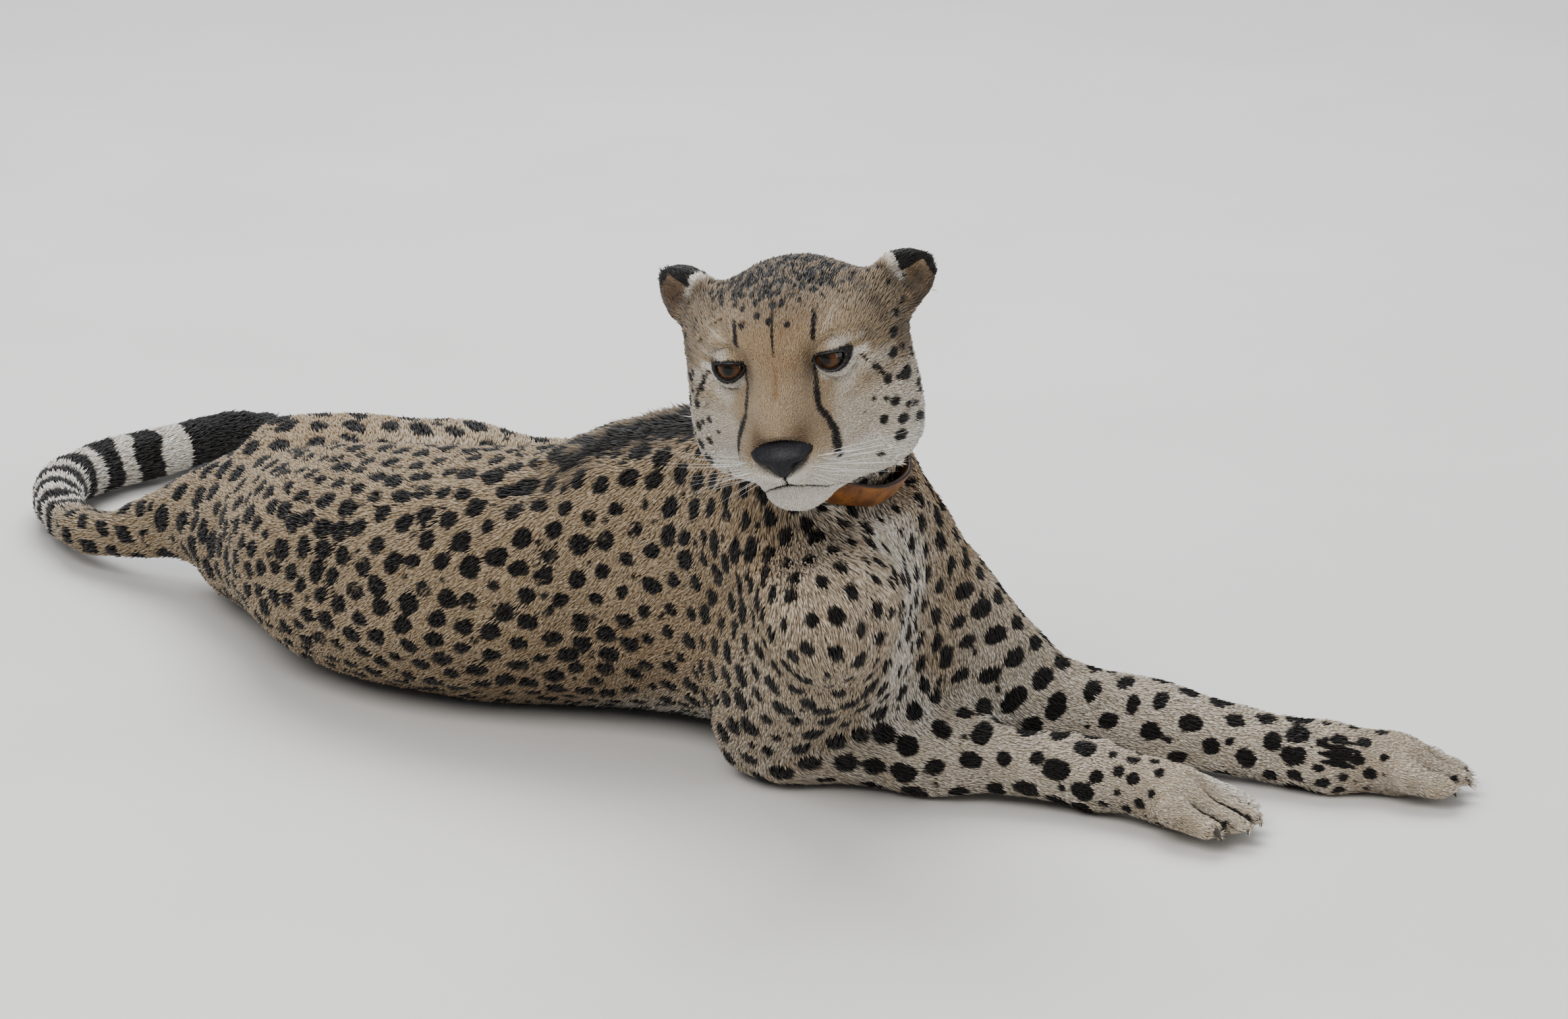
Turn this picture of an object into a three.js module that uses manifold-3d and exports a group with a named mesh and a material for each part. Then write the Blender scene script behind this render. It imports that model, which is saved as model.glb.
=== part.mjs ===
// A life-size cheetah lying down, in millimetres, +Z up: the chest is upright on the forelegs, the
// hips are rolled onto the right side, and the head is turned over the right shoulder. X runs
// forward along the trunk, Y to the left.
//
// The body is one implicit surface. Each muscle, bone or pad is a small field (distance outside the
// shape, negative inside) and the fields are blended. Planes part the animal into regions, and each
// region is meshed on its own grid.
import * as THREE from "three";
import { mergeVertices } from "three/addons/utils/BufferGeometryUtils.js";
import Module from "manifold-3d";

const wasm = await Module();
wasm.setup();

const vec = (x, y, z) => new THREE.Vector3(x, y, z);

// ---- driving dimensions ------------------------------------------------------------------------------

const GAP = 0.4; // the clearance between two sub-parts that meet
const BIG = 3000; // longer than the whole animal, for regions without an end
const WORKSPACE = { low: vec(-1110, -140, -60), high: vec(340, 580, 480) }; // holds the whole animal
const GRID_SHIFTS = [0, 0.31, 0.57, 0.83, 0.19, 0.71]; // in cells, tried in turn

const FUR = "#b9945f";
const PALE_FUR = "#d8cbb4";
const DARK_FUR = "#3a3029";
const IRIS = "#8a5a22";
const WET_BLACK = "#1c1a1c";
const LEATHER = "#7a5326";

// The head's frame has x to the nose, y to the animal's left and z to the crown, from the point
// between the eyes.
const HEAD = { at: vec(41, -37, 372), heading: -51, pitch: 11, roll: 10 };
const SKULL_SHAPES = {
  brainCase: { at: vec(-56, 0, -8), size: [70, 67, 62] },
  forehead: { at: vec(-24, 0, 6), size: [34, 42, 32] },
  temple: { at: vec(-54, 52, 6), size: [36, 30, 30], pair: true },
  cheekbone: { at: vec(-44, 46, -36), size: [46, 38, 42], pair: true },
  jawRuff: { at: vec(-38, 48, -68), size: [40, 36, 35], pair: true },
};
const FACE_SHAPES = {
  brow: { at: vec(-14, 36, 16), size: [17, 20, 10], pair: true },
  lids: { at: vec(-19, 37, -3), size: [15, 20, 17], pair: true },
  bridge: { from: vec(-6, 0, -4), to: vec(36, 0, -34), radii: [24, 19] },
  upperJaw: { from: vec(0, 0, -34), to: vec(34, 0, -50), radii: [34, 25] },
  underEye: { from: vec(4, 32, -30), to: vec(-24, 46, -30), radii: [15, 24], pair: true },
  cheek: { from: vec(18, 26, -52), to: vec(-28, 50, -50), radii: [15, 26], pair: true },
  whiskerPad: { at: vec(34, 18, -54), size: [24, 19, 16], pair: true },
};
const JAW_SHAPES = {
  chin: { at: vec(27, 0, -84), size: [20, 25, 15] },
  jawbone: { from: vec(18, 12, -82), to: vec(-42, 40, -78), radii: [14, 26], pair: true },
};
const HEAD_BLEND = { skull: 18, face: 10, jaw: 10, whole: 8 };
const EYE = { at: vec(-8.5, 35, 0.5), radius: 15, around: 12, rings: 8 };
const NOSE_PAD = { at: vec(52, 0, -45), size: vec(10, 20, 14), around: 12, rings: 7 };
const MOUTH = { at: vec(54, 0, -66), slope: 9, back: -48, front: 60, halfWidth: 40, deep: 40 };
const EAR = {
  base: vec(-62, 66, 20),
  leftTip: vec(-86, 101, 29),
  rightTip: vec(-86, 95, 43),
  facing: vec(0.87, 0.33, 0.375),
  thick: 16,
  width: 22,
  wall: 9,
  foot: 2, // how far up the ear the head ends
};
const EAR_SPACE = { back: -104, front: -20, inner: 30, outer: 140, low: -20, high: 120 };
const HEAD_END = { at: vec(-28, 55, 316), up: vec(0.45, -0.25, 0.86) };
const NECK_END = { at: vec(-60, 85, 245), up: vec(0.6, -0.3, 0.74) };
const HEAD_SPACE = { low: vec(-180, -140, 130), high: vec(160, 200, 480) };

// The collar hangs around the neck in a groove.
const COLLAR = {
  at: vec(-40, 59, 294),
  facing: vec(0.58, 0.2, 0.79),
  long: 81,
  short: 71,
  wide: 24,
  thick: 7,
  sides: 24,
  groove: 14,
};

const RIGHT_FORELEG = {
  blade: vec(-95, 62, 205),
  shoulder: vec(34, 16, 178),
  triceps: vec(-78, 55, 128),
  elbow: vec(-102, 76, 42),
  middle: vec(-8, 140, 34),
  wrist: vec(90, 208, 30),
  knuckle: vec(172, 231, 26),
  tip: vec(220, 249, 17),
};
const LEFT_FORELEG = {
  blade: vec(-125, 145, 215),
  shoulder: vec(-42, 132, 188),
  triceps: vec(-75, 195, 140),
  elbow: vec(-22, 244, 46),
  middle: vec(61, 306, 34),
  wrist: vec(170, 366, 27),
  knuckle: vec(220, 408, 24),
  tip: vec(250, 440, 16),
};
const LEFT_HIND = {
  hip: vec(-648, 42, 112),
  knee: vec(-532, 245, 82),
  hock: vec(-730, 390, 42),
  knuckle: vec(-650, 480, 26),
  tip: vec(-618, 516, 17),
};
const RIGHT_HIND = {
  hip: vec(-620, 35, 50),
  knee: vec(-440, 215, 46),
  hock: vec(-585, 385, 34),
  knuckle: vec(-500, 465, 26),
  tip: vec(-466, 500, 17),
};

const FORELEG_RADII = {
  blade: 48,
  point: 46,
  shoulder: 49,
  triceps: 47,
  elbow: 42,
  forearm: 40,
  middle: 33,
  wrist: 26,
};
const HEEL = { below: 12, size: [20, 17, 14] }; // the pad behind the wrist
const HINDLEG_RADII = { taper: 0.92, knee: 44, calf: 34, hock: 21, cannon: 23 };
const LEFT_THIGH = 60;
const RIGHT_THIGH = 46;

// A paw's sizes other than its width are shares of the width.
const FOREPAW_WIDTH = 76;
const HIND_PAW_WIDTH = 68;
const PAW = {
  toePlaces: [-1.5, -0.5, 0.5, 1.5],
  spacing: 0.24,
  fan: 1.15,
  outerToeBack: 0.16,
  toeRadii: [0.17, 0.155],
  palmRadii: [0.3, 0.34],
  blend: 7,
};
const CLAW = { length: 24, radius: 3.6, sides: 6, outward: 0.085, dip: 0.35, lowest: 11 };

// The trunk's cross-sections from rump to chest: centre, roll onto the right side, half width, and
// half depths towards the back and the belly.
const TRUNK = [
  { at: vec(-690, 28, 62), roll: 80, wide: 67, back: 75, belly: 75 },
  { at: vec(-594, 17, 76), roll: 75, wide: 81, back: 91, belly: 91 },
  { at: vec(-495, -6, 91), roll: 70, wide: 96, back: 106, belly: 106 },
  { at: vec(-397, 16, 100), roll: 59, wide: 101, back: 120, belly: 120 },
  { at: vec(-309, 66, 109), roll: 45, wide: 94, back: 133, belly: 133 },
  { at: vec(-220, 99, 129), roll: 27, wide: 90, back: 143, belly: 143 },
  { at: vec(-120, 112, 149), roll: 14, wide: 86, back: 140, belly: 147 },
  { at: vec(-58, 98, 166), roll: 12, wide: 73, back: 112, belly: 118 },
  { at: vec(-10, 68, 178), roll: 10, wide: 50, back: 76, belly: 88 },
];

const NECK = [
  { at: vec(-84, 100, 205), roll: 10, wide: 70, back: 82, belly: 76 },
  { at: vec(-52, 82, 258), roll: 5, wide: 66, back: 74, belly: 68 },
  { at: vec(-32, 52, 315), roll: 0, wide: 61, back: 66, belly: 62 },
  { at: vec(-12, 22, 350), roll: 0, wide: 58, back: 58, belly: 58 },
];

const TAIL = [
  { at: vec(-690, 30, 75), radius: 46 },
  { at: vec(-742, 8, 68), radius: 38 },
  { at: vec(-800, -15, 42), radius: 28 },
  { at: vec(-846, -26, 31), radius: 25 },
  { at: vec(-895, -24, 27), radius: 25 },
  { at: vec(-950, -2, 26), radius: 25 },
  { at: vec(-998, 36, 26), radius: 26 },
  { at: vec(-1018, 88, 26), radius: 26 },
  { at: vec(-1020, 140, 26), radius: 25 },
  { at: vec(-1028, 190, 25), radius: 24 },
  { at: vec(-1036, 240, 23), radius: 22 },
  { at: vec(-1056, 290, 19), radius: 15 },
];

const BODY_BLEND = { neck: 26, foreleg: 22, forelegs: 34, hindleg: 24, hips: 22, head: 18 };

// The planes and limits that part the body.
const LIMB_REGIONS = {
  forepaw: { start: 5, stop: 60, halfWidth: 62, top: 90 },
  rightForearm: { start: 46, stop: 20, halfWidth: 56, top: 84 },
  leftForearm: { start: 40, stop: 20, halfWidth: 70, top: 110 },
  rightUpperArm: { start: -110, stop: 62, halfWidth: 92, top: 236 },
  leftUpperArm: { start: 40, stop: 80, halfWidth: 110, top: 236 },
  hindFoot: { start: 26, stop: 50, halfWidth: 60, top: 80 },
  leftShank: { start: 34, stop: 60, halfWidth: 80, top: 150 },
  rightShank: { start: 34, stop: 60, halfWidth: 62, top: 120 },
};
const ARM_OUTWARDS = vec(-24, -55, 0); // the right arm's region lies this far outside its bones
const HIP_SIDE = { from: vec(-820, 72, 0), to: vec(-360, 160, 0) };
const BETWEEN_THIGHS = { at: vec(-578, 108, 75), up: vec(-0.518, 0.467, 0.715) };
const RUMP_END = { at: vec(-480, 0, 90), back: vec(-1, 0.1, 0) };
const BELLY_END = { at: vec(-265, 80, 120), back: vec(-0.9, -0.42, 0) };
const TAIL_CUTS = { base: 1, middle: 5, tip: 9 }; // indexes into TAIL

// ---- fields ------------------------------------------------------------------------------------------

/** An ellipsoid: centre, half sizes, and a turn given as Euler angles in degrees. */
function ellipsoid(centre, size, turn = [0, 0, 0]) {
  const q = new THREE.Euler(...turn.map(THREE.MathUtils.degToRad), "ZYX");
  const m = new THREE.Matrix4().makeRotationFromEuler(q).transpose().elements;
  return (x, y, z) => {
    const dx = x - centre.x;
    const dy = y - centre.y;
    const dz = z - centre.z;
    const a = (m[0] * dx + m[4] * dy + m[8] * dz) / size[0];
    const b = (m[1] * dx + m[5] * dy + m[9] * dz) / size[1];
    const c = (m[2] * dx + m[6] * dy + m[10] * dz) / size[2];
    const near = Math.hypot(a, b, c);
    const slope = Math.hypot(a / size[0], b / size[1], c / size[2]);
    return slope < 1e-9 ? -Math.min(...size) : (near * (near - 1)) / slope;
  };
}

/** A limb between two points, round, with its own radius at each end. */
function limb(from, to, startRadius, endRadius) {
  const along = to.clone().sub(from);
  const length2 = along.lengthSq();
  return (x, y, z) => {
    const dx = x - from.x;
    const dy = y - from.y;
    const dz = z - from.z;
    const t = THREE.MathUtils.clamp((dx * along.x + dy * along.y + dz * along.z) / length2, 0, 1);
    const away = Math.hypot(dx - t * along.x, dy - t * along.y, dz - t * along.z);
    return away - THREE.MathUtils.lerp(startRadius, endRadius, t);
  };
}

/**
 * A body along a smooth spine with an oval section that rolls and changes size from station to
 * station.
 */
function rolledBody(sections, steps = 10) {
  const curve = new THREE.CatmullRomCurve3(sections.map((s) => s.at), false, "centripetal");
  const count = (sections.length - 1) * steps;
  const stations = [];
  for (let i = 0; i <= count; i++) {
    const u = (i / count) * (sections.length - 1);
    const low = Math.min(Math.floor(u), sections.length - 2);
    const mix = (key) => THREE.MathUtils.lerp(sections[low][key], sections[low + 1][key], u - low);
    const forward = curve.getTangent(i / count);
    const back = vec(0, 0, 1).addScaledVector(forward, -forward.z).normalize();
    back.applyAxisAngle(forward, THREE.MathUtils.degToRad(mix("roll")));
    stations.push({
      at: curve.getPoint(i / count),
      forward,
      back,
      left: back.clone().cross(forward),
      size: [mix("wide"), mix("back"), mix("belly")],
    });
  }
  return (x, y, z) => {
    let best = Infinity;
    let at = 0;
    let share = 0;
    for (let i = 0; i < count; i++) {
      const p = stations[i].at;
      const q = stations[i + 1].at;
      const ex = q.x - p.x;
      const ey = q.y - p.y;
      const ez = q.z - p.z;
      const raw = ((x - p.x) * ex + (y - p.y) * ey + (z - p.z) * ez) / (ex * ex + ey * ey + ez * ez);
      const t = THREE.MathUtils.clamp(raw, 0, 1);
      const d = (x - p.x - t * ex) ** 2 + (y - p.y - t * ey) ** 2 + (z - p.z - t * ez) ** 2;
      if (d < best) [best, at, share] = [d, i, t];
    }
    const a = stations[at];
    const b = stations[at + 1];
    const mixed = (key, axis) => THREE.MathUtils.lerp(a[key][axis], b[key][axis], share);
    const dx = x - mixed("at", "x");
    const dy = y - mixed("at", "y");
    const dz = z - mixed("at", "z");
    const dot = (key) => dx * mixed(key, "x") + dy * mixed(key, "y") + dz * mixed(key, "z");
    const side = dot("left");
    const up = dot("back");
    const ahead = dot("forward");
    const wide = mixed("size", 0);
    const deep = mixed("size", up > 0 ? 1 : 2);
    const away = Math.hypot(side, up, ahead);
    const ratio = Math.hypot(side / wide, up / deep, ahead / wide);
    return ratio < 1e-6 ? -wide : away - away / ratio;
  };
}

/** A round rope of limbs through a smooth curve, for the tail. */
function rope(points, steps = 5) {
  const curve = new THREE.CatmullRomCurve3(points.map((p) => p.at), false, "centripetal");
  const count = (points.length - 1) * steps;
  const radius = (i) => {
    const u = (i / count) * (points.length - 1);
    const low = Math.min(Math.floor(u), points.length - 2);
    return THREE.MathUtils.lerp(points[low].radius, points[low + 1].radius, u - low);
  };
  const parts = [];
  for (let i = 0; i < count; i++) {
    const next = i + 1;
    parts.push(limb(curve.getPoint(i / count), curve.getPoint(next / count), radius(i), radius(next)));
  }
  return (x, y, z) => parts.reduce((near, part) => Math.min(near, part(x, y, z)), Infinity);
}

const nearest = (one, other) => (x, y, z) => Math.min(one(x, y, z), other(x, y, z));

/** Joins fields with a fillet of about the given width. */
function blend(width, ...fields) {
  return (x, y, z) => {
    let near = fields[0](x, y, z);
    for (let i = 1; i < fields.length; i++) {
      const d = fields[i](x, y, z);
      const h = Math.max(width - Math.abs(near - d), 0) / width;
      near = Math.min(near, d) - h * h * width * 0.25;
    }
    return near;
  };
}

/**
 * A field made in the head's own frame: x to the nose, y to the animal's left, z to the crown, zero
 * between the eyes.
 */
const headFrame = new THREE.Matrix4()
  .makeRotationFromEuler(
    new THREE.Euler(
      THREE.MathUtils.degToRad(HEAD.roll),
      THREE.MathUtils.degToRad(HEAD.pitch),
      THREE.MathUtils.degToRad(HEAD.heading),
      "ZYX",
    ),
  )
  .setPosition(HEAD.at);
const onHead = (x, y, z) => vec(x, y, z).applyMatrix4(headFrame);
function inHead(field) {
  const m = headFrame.clone().invert().elements;
  return (x, y, z) =>
    field(
      m[0] * x + m[4] * y + m[8] * z + m[12],
      m[1] * x + m[5] * y + m[9] * z + m[13],
      m[2] * x + m[6] * y + m[10] * z + m[14],
    );
}
/** The same field on both sides of the face. */
const paired = (field) => (x, y, z) => field(x, Math.abs(y), z);

// ---- the head ----------------------------------------------------------------------------------------

/**
 * A shape's field: a limb where it has two ends, otherwise an ellipsoid; a pair is on both sides of
 * the head.
 */
function shapeField(shape) {
  const one = shape.from ? limb(shape.from, shape.to, ...shape.radii) : ellipsoid(shape.at, shape.size);
  return shape.pair ? paired(one) : one;
}
const shapeFields = (shapes) => Object.values(shapes).map(shapeField);

/** An ear: an oval shell that stands from its base to its tip, hollow on the side it faces. */
function earShell(ear, tip) {
  const along = tip.clone().sub(ear.base);
  const length = along.length();
  along.normalize();
  const facing = ear.facing.clone().addScaledVector(along, -ear.facing.dot(along)).normalize();
  const across = along.clone().cross(facing);
  const m = new THREE.Matrix4().makeBasis(facing, across, along).setPosition(ear.base).invert().elements;
  const outside = ellipsoid(vec(0, 0, length * 0.3), [ear.thick, ear.width, length * 0.7]);
  const hollow = ellipsoid(
    vec(ear.thick * 0.85, 0, length * 0.4),
    [ear.thick, ear.width - ear.wall, length * 0.62 - ear.wall],
  );
  return (x, y, z) => {
    const u = m[0] * x + m[4] * y + m[8] * z + m[12];
    const v = m[1] * x + m[5] * y + m[9] * z + m[13];
    const w = m[2] * x + m[6] * y + m[10] * z + m[14];
    return Math.max(outside(u, v, w), -hollow(u, v, w));
  };
}

const skull = blend(HEAD_BLEND.skull, ...shapeFields(SKULL_SHAPES));
const face = blend(HEAD_BLEND.face, skull, ...shapeFields(FACE_SHAPES));
const jaw = blend(HEAD_BLEND.jaw, ...shapeFields(JAW_SHAPES));
const leftEar = earShell(EAR, EAR.leftTip);
const mirroredEar = earShell(EAR, EAR.rightTip);
const rightEar = (x, y, z) => mirroredEar(x, -y, z);
const head = inHead(blend(HEAD_BLEND.whole, face, jaw, leftEar, rightEar));

// ---- the limbs ---------------------------------------------------------------------------------------

/** Where each of a paw's four toes starts and ends. */
function toes(leg, width) {
  const ahead = leg.tip.clone().sub(leg.knuckle).setZ(0).normalize();
  const side = vec(-ahead.y, ahead.x, 0);
  return PAW.toePlaces.map((place) => {
    const shift = side.clone().multiplyScalar(place * width * PAW.spacing);
    const short = Math.abs(place) > 1 ? PAW.outerToeBack * width : 0;
    const start = leg.knuckle.clone().add(shift);
    const end = leg.tip.clone().addScaledVector(shift, PAW.fan).addScaledVector(ahead, -short);
    return { start, end, ahead };
  });
}

/** A paw: the palm and four toes fanned out over the tip. */
function paw(from, leg, width) {
  const sized = (shares) => shares.map((share) => share * width);
  const each = toes(leg, width).map(({ start, end }) => limb(start, end, ...sized(PAW.toeRadii)));
  return blend(PAW.blend, limb(from, leg.knuckle, ...sized(PAW.palmRadii)), ...each);
}

function foreleg(leg) {
  const r = FORELEG_RADII;
  const heel = leg.wrist.clone().add(vec(0, 0, -HEEL.below));
  return blend(
    BODY_BLEND.foreleg,
    limb(leg.blade, leg.shoulder, r.blade, r.point),
    limb(leg.shoulder, leg.elbow, r.shoulder, r.elbow),
    limb(leg.triceps, leg.elbow, r.triceps, r.elbow),
    limb(leg.elbow, leg.middle, r.forearm, r.middle),
    limb(leg.middle, leg.wrist, r.middle, r.wrist),
    ellipsoid(heel, HEEL.size),
    paw(leg.wrist, leg, FOREPAW_WIDTH),
  );
}

function hindleg(leg, thigh) {
  const r = HINDLEG_RADII;
  const mid = leg.hip.clone().lerp(leg.knee, 0.5);
  const calf = leg.knee.clone().lerp(leg.hock, 0.45);
  const cannon = leg.hock.clone().lerp(leg.knuckle, 0.6);
  return blend(
    BODY_BLEND.hindleg,
    limb(leg.hip, mid, thigh, thigh * r.taper),
    limb(mid, leg.knee, thigh * r.taper, r.knee),
    limb(leg.knee, calf, r.knee, r.calf),
    limb(calf, leg.hock, r.calf, r.hock),
    limb(leg.hock, leg.knuckle, r.hock, r.cannon),
    paw(cannon, leg, HIND_PAW_WIDTH),
  );
}

// ---- the whole surface -------------------------------------------------------------------------------

const torso = blend(BODY_BLEND.neck, rolledBody(TRUNK), rolledBody(NECK));
const front = blend(BODY_BLEND.forelegs, torso, nearest(foreleg(RIGHT_FORELEG), foreleg(LEFT_FORELEG)));
const body = blend(
  BODY_BLEND.hips,
  front,
  hindleg(LEFT_HIND, LEFT_THIGH),
  hindleg(RIGHT_HIND, RIGHT_THIGH),
  rope(TAIL),
);
const animal = blend(BODY_BLEND.head, body, head);

// ---- meshing -----------------------------------------------------------------------------------------

const CORNERS = [0, 1, 2, 3, 4, 5, 6, 7].map((c) => [c & 1, (c >> 1) & 1, c >> 2]);
const EDGES = [];
CORNERS.forEach((a, ia) =>
  CORNERS.forEach((b, ib) => {
    const steps = Math.abs(a[0] - b[0]) + Math.abs(a[1] - b[1]) + Math.abs(a[2] - b[2]);
    if (ib > ia && steps === 1) EDGES.push([ia, ib]);
  }),
);

/**
 * Labels the corners of a grid cell that are inside, so that corners joined along edges share a
 * label.
 */
function labelCorners(values) {
  const label = values.map((v, c) => (v < 0 ? c : -1));
  for (let round = 0; round < 4; round++) {
    for (const [a, b] of EDGES) {
      if (label[a] >= 0 && label[b] >= 0) label[a] = label[b] = Math.min(label[a], label[b]);
    }
  }
  return label;
}

/**
 * Meshes where the field is zero inside a box: one vertex for each patch of surface in each grid
 * cell.
 */
function gridSurface(field, low, high, cell) {
  const n = ["x", "y", "z"].map((k) => Math.ceil((high[k] - low[k]) / cell) + 1);
  const at = (i, j, k) => (k * n[1] + j) * n[0] + i;
  const value = new Float64Array(n[0] * n[1] * n[2]);
  for (let k = 0; k < n[2]; k++) {
    for (let j = 0; j < n[1]; j++) {
      for (let i = 0; i < n[0]; i++) {
        const edge = !i || !j || !k || i === n[0] - 1 || j === n[1] - 1 || k === n[2] - 1;
        value[at(i, j, k)] = edge ? cell : field(low.x + i * cell, low.y + j * cell, low.z + k * cell);
      }
    }
  }
  const vertexOf = new Map();
  const places = [];
  for (let k = 0; k < n[2] - 1; k++) {
    for (let j = 0; j < n[1] - 1; j++) {
      for (let i = 0; i < n[0] - 1; i++) {
        const values = CORNERS.map((c) => value[at(i + c[0], j + c[1], k + c[2])]);
        if (values.every((v) => v < 0 === values[0] < 0)) continue;
        const label = labelCorners(values);
        const patches = new Map();
        for (const [a, b] of EDGES) {
          if (values[a] < 0 === values[b] < 0) continue;
          const t = values[a] / (values[a] - values[b]);
          const patch = patches.get(Math.max(label[a], label[b])) ?? { sum: vec(0, 0, 0), count: 0 };
          patch.sum.add(vec(...CORNERS[a]).lerp(vec(...CORNERS[b]), t));
          patch.count++;
          patches.set(Math.max(label[a], label[b]), patch);
        }
        for (const [mark, { sum, count }] of patches) {
          const p = vec(i, j, k).addScaledVector(sum, 1 / count).multiplyScalar(cell).add(low);
          settle(field, p, cell);
          CORNERS.forEach((c, index) => {
            if (label[index] === mark) vertexOf.set(at(i, j, k) * 8 + index, places.length / 3);
          });
          places.push(p.x, p.y, p.z);
        }
      }
    }
  }
  const faces = [];
  const quad = (a, b, c, d, flip) => faces.push(...(flip ? [a, c, b, a, d, c] : [a, b, c, a, c, d]));
  for (let k = 0; k < n[2] - 1; k++) {
    for (let j = 0; j < n[1] - 1; j++) {
      for (let i = 0; i < n[0] - 1; i++) {
        const inside = value[at(i, j, k)] < 0;
        // The vertex, in a neighbouring cell, of the patch around the grid point that is inside.
        const corner = (axis, ...d) => {
          const out = [...d];
          const own = d.map((s, m) => -s + (m === axis && !inside ? 1 : 0));
          return vertexOf.get(at(i + out[0], j + out[1], k + out[2]) * 8 + own[0] + 2 * own[1] + 4 * own[2]);
        };
        if (j && k && inside !== value[at(i + 1, j, k)] < 0) {
          quad(corner(0, 0, -1, -1), corner(0, 0, 0, -1), corner(0, 0, 0, 0), corner(0, 0, -1, 0), !inside);
        }
        if (i && k && inside !== value[at(i, j + 1, k)] < 0) {
          quad(corner(1, -1, 0, -1), corner(1, -1, 0, 0), corner(1, 0, 0, 0), corner(1, 0, 0, -1), !inside);
        }
        if (i && j && inside !== value[at(i, j, k + 1)] < 0) {
          quad(corner(2, -1, -1, 0), corner(2, 0, -1, 0), corner(2, 0, 0, 0), corner(2, -1, 0, 0), !inside);
        }
      }
    }
  }
  return new wasm.Mesh({
    numProp: 3,
    vertProperties: new Float32Array(places),
    triVerts: new Uint32Array(faces),
  });
}

/**
 * The surface as a solid. The grid is moved a little where two sheets of the surface would share an
 * edge.
 */
function meshField(field, low, high, cell) {
  for (const shift of GRID_SHIFTS) {
    try {
      return new wasm.Manifold(gridSurface(field, low.clone().addScalar(-shift * cell), high, cell));
    } catch (error) {
      if (error.code !== "NotManifold") throw error;
    }
  }
  throw new Error("the surface cannot be meshed with this cell");
}

/** Moves a point onto the surface, but no further than half a cell. */
function settle(field, p, cell) {
  const start = p.clone();
  const step = cell * 0.05;
  for (let round = 0; round < 2; round++) {
    const d = field(p.x, p.y, p.z);
    const slope = vec(
      field(p.x + step, p.y, p.z) - field(p.x - step, p.y, p.z),
      field(p.x, p.y + step, p.z) - field(p.x, p.y - step, p.z),
      field(p.x, p.y, p.z + step) - field(p.x, p.y, p.z - step),
    ).multiplyScalar(0.5 / step);
    p.addScaledVector(slope, -d / Math.max(slope.lengthSq(), 0.2));
  }
  if (p.distanceTo(start) > cell / 2) p.sub(start).setLength(cell / 2).add(start);
}

/** A three.js geometry as a solid. */
function solidOf(geometry, matrix = new THREE.Matrix4()) {
  const plain = geometry.index ? geometry.toNonIndexed() : geometry.clone();
  plain.deleteAttribute("normal");
  plain.deleteAttribute("uv");
  const merged = mergeVertices(plain.applyMatrix4(matrix), 1e-3);
  return new wasm.Manifold(
    new wasm.Mesh({
      numProp: 3,
      vertProperties: merged.attributes.position.array,
      triVerts: new Uint32Array(merged.index.array),
    }),
  );
}

// ---- regions -----------------------------------------------------------------------------------------

/** A frame that stands level: x along the line between two points, z up. */
function levelFrame(from, to) {
  const along = to.clone().sub(from).setZ(0).normalize();
  const across = vec(-along.y, along.x, 0);
  return new THREE.Matrix4().makeBasis(along, across, vec(0, 0, 1)).setPosition(from.clone().setZ(0));
}

/**
 * A region is asked for with a margin. This one is a box in a frame, from its low corner to its high
 * corner.
 */
const boxRegion = (frame, low, high) => (margin) => {
  const size = high.clone().sub(low).addScalar(2 * margin);
  const centre = low.clone().add(high).multiplyScalar(0.5);
  return solidOf(new THREE.BoxGeometry(size.x, size.y, size.z).translate(...centre), frame);
};

/**
 * The region of a limb: it starts and stops along the line between two points, and has a width and a
 * top.
 */
function limbRegion(from, to, { start, stop, halfWidth, top }) {
  const length = to.clone().sub(from).setZ(0).length();
  return boxRegion(levelFrame(from, to), vec(start, -halfWidth, -BIG), vec(length + stop, halfWidth, top));
}

/** Everything on the side of a plane that its normal points to. */
function sideRegion(point, normal) {
  const turn = new THREE.Quaternion().setFromUnitVectors(vec(0, 0, 1), normal.clone().normalize());
  const frame = new THREE.Matrix4().compose(point, turn, vec(1, 1, 1));
  return boxRegion(frame, vec(-BIG, -BIG, 0), vec(BIG, BIG, BIG));
}

const unturned = new THREE.Matrix4();
const both = (one, other) => (margin) => one(margin).intersect(other(margin));
const headSpace = boxRegion(unturned, HEAD_SPACE.low, HEAD_SPACE.high);
const headRegion = both(sideRegion(HEAD_END.at, HEAD_END.up), headSpace);
const neckRegion = both(sideRegion(NECK_END.at, NECK_END.up), headSpace);

const mouthFrame = headFrame
  .clone()
  .multiply(new THREE.Matrix4().makeTranslation(MOUTH.at))
  .multiply(new THREE.Matrix4().makeRotationY(THREE.MathUtils.degToRad(MOUTH.slope)));
const jawRegion = boxRegion(
  mouthFrame,
  vec(MOUTH.back, -MOUTH.halfWidth, -MOUTH.deep),
  vec(MOUTH.front, MOUTH.halfWidth, 0),
);

function earRegion(side, tip) {
  const up = tip.clone().sub(EAR.base).normalize();
  const foot = EAR.base.clone().addScaledVector(up, EAR.foot);
  const edges = [side * EAR_SPACE.inner, side * EAR_SPACE.outer];
  const low = vec(EAR_SPACE.back, Math.min(...edges), EAR_SPACE.low);
  const high = vec(EAR_SPACE.front, Math.max(...edges), EAR_SPACE.high);
  const upwards = vec(up.x, up.y * side, up.z).transformDirection(headFrame);
  return both(sideRegion(onHead(foot.x, foot.y * side, foot.z), upwards), boxRegion(headFrame, low, high));
}

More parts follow.
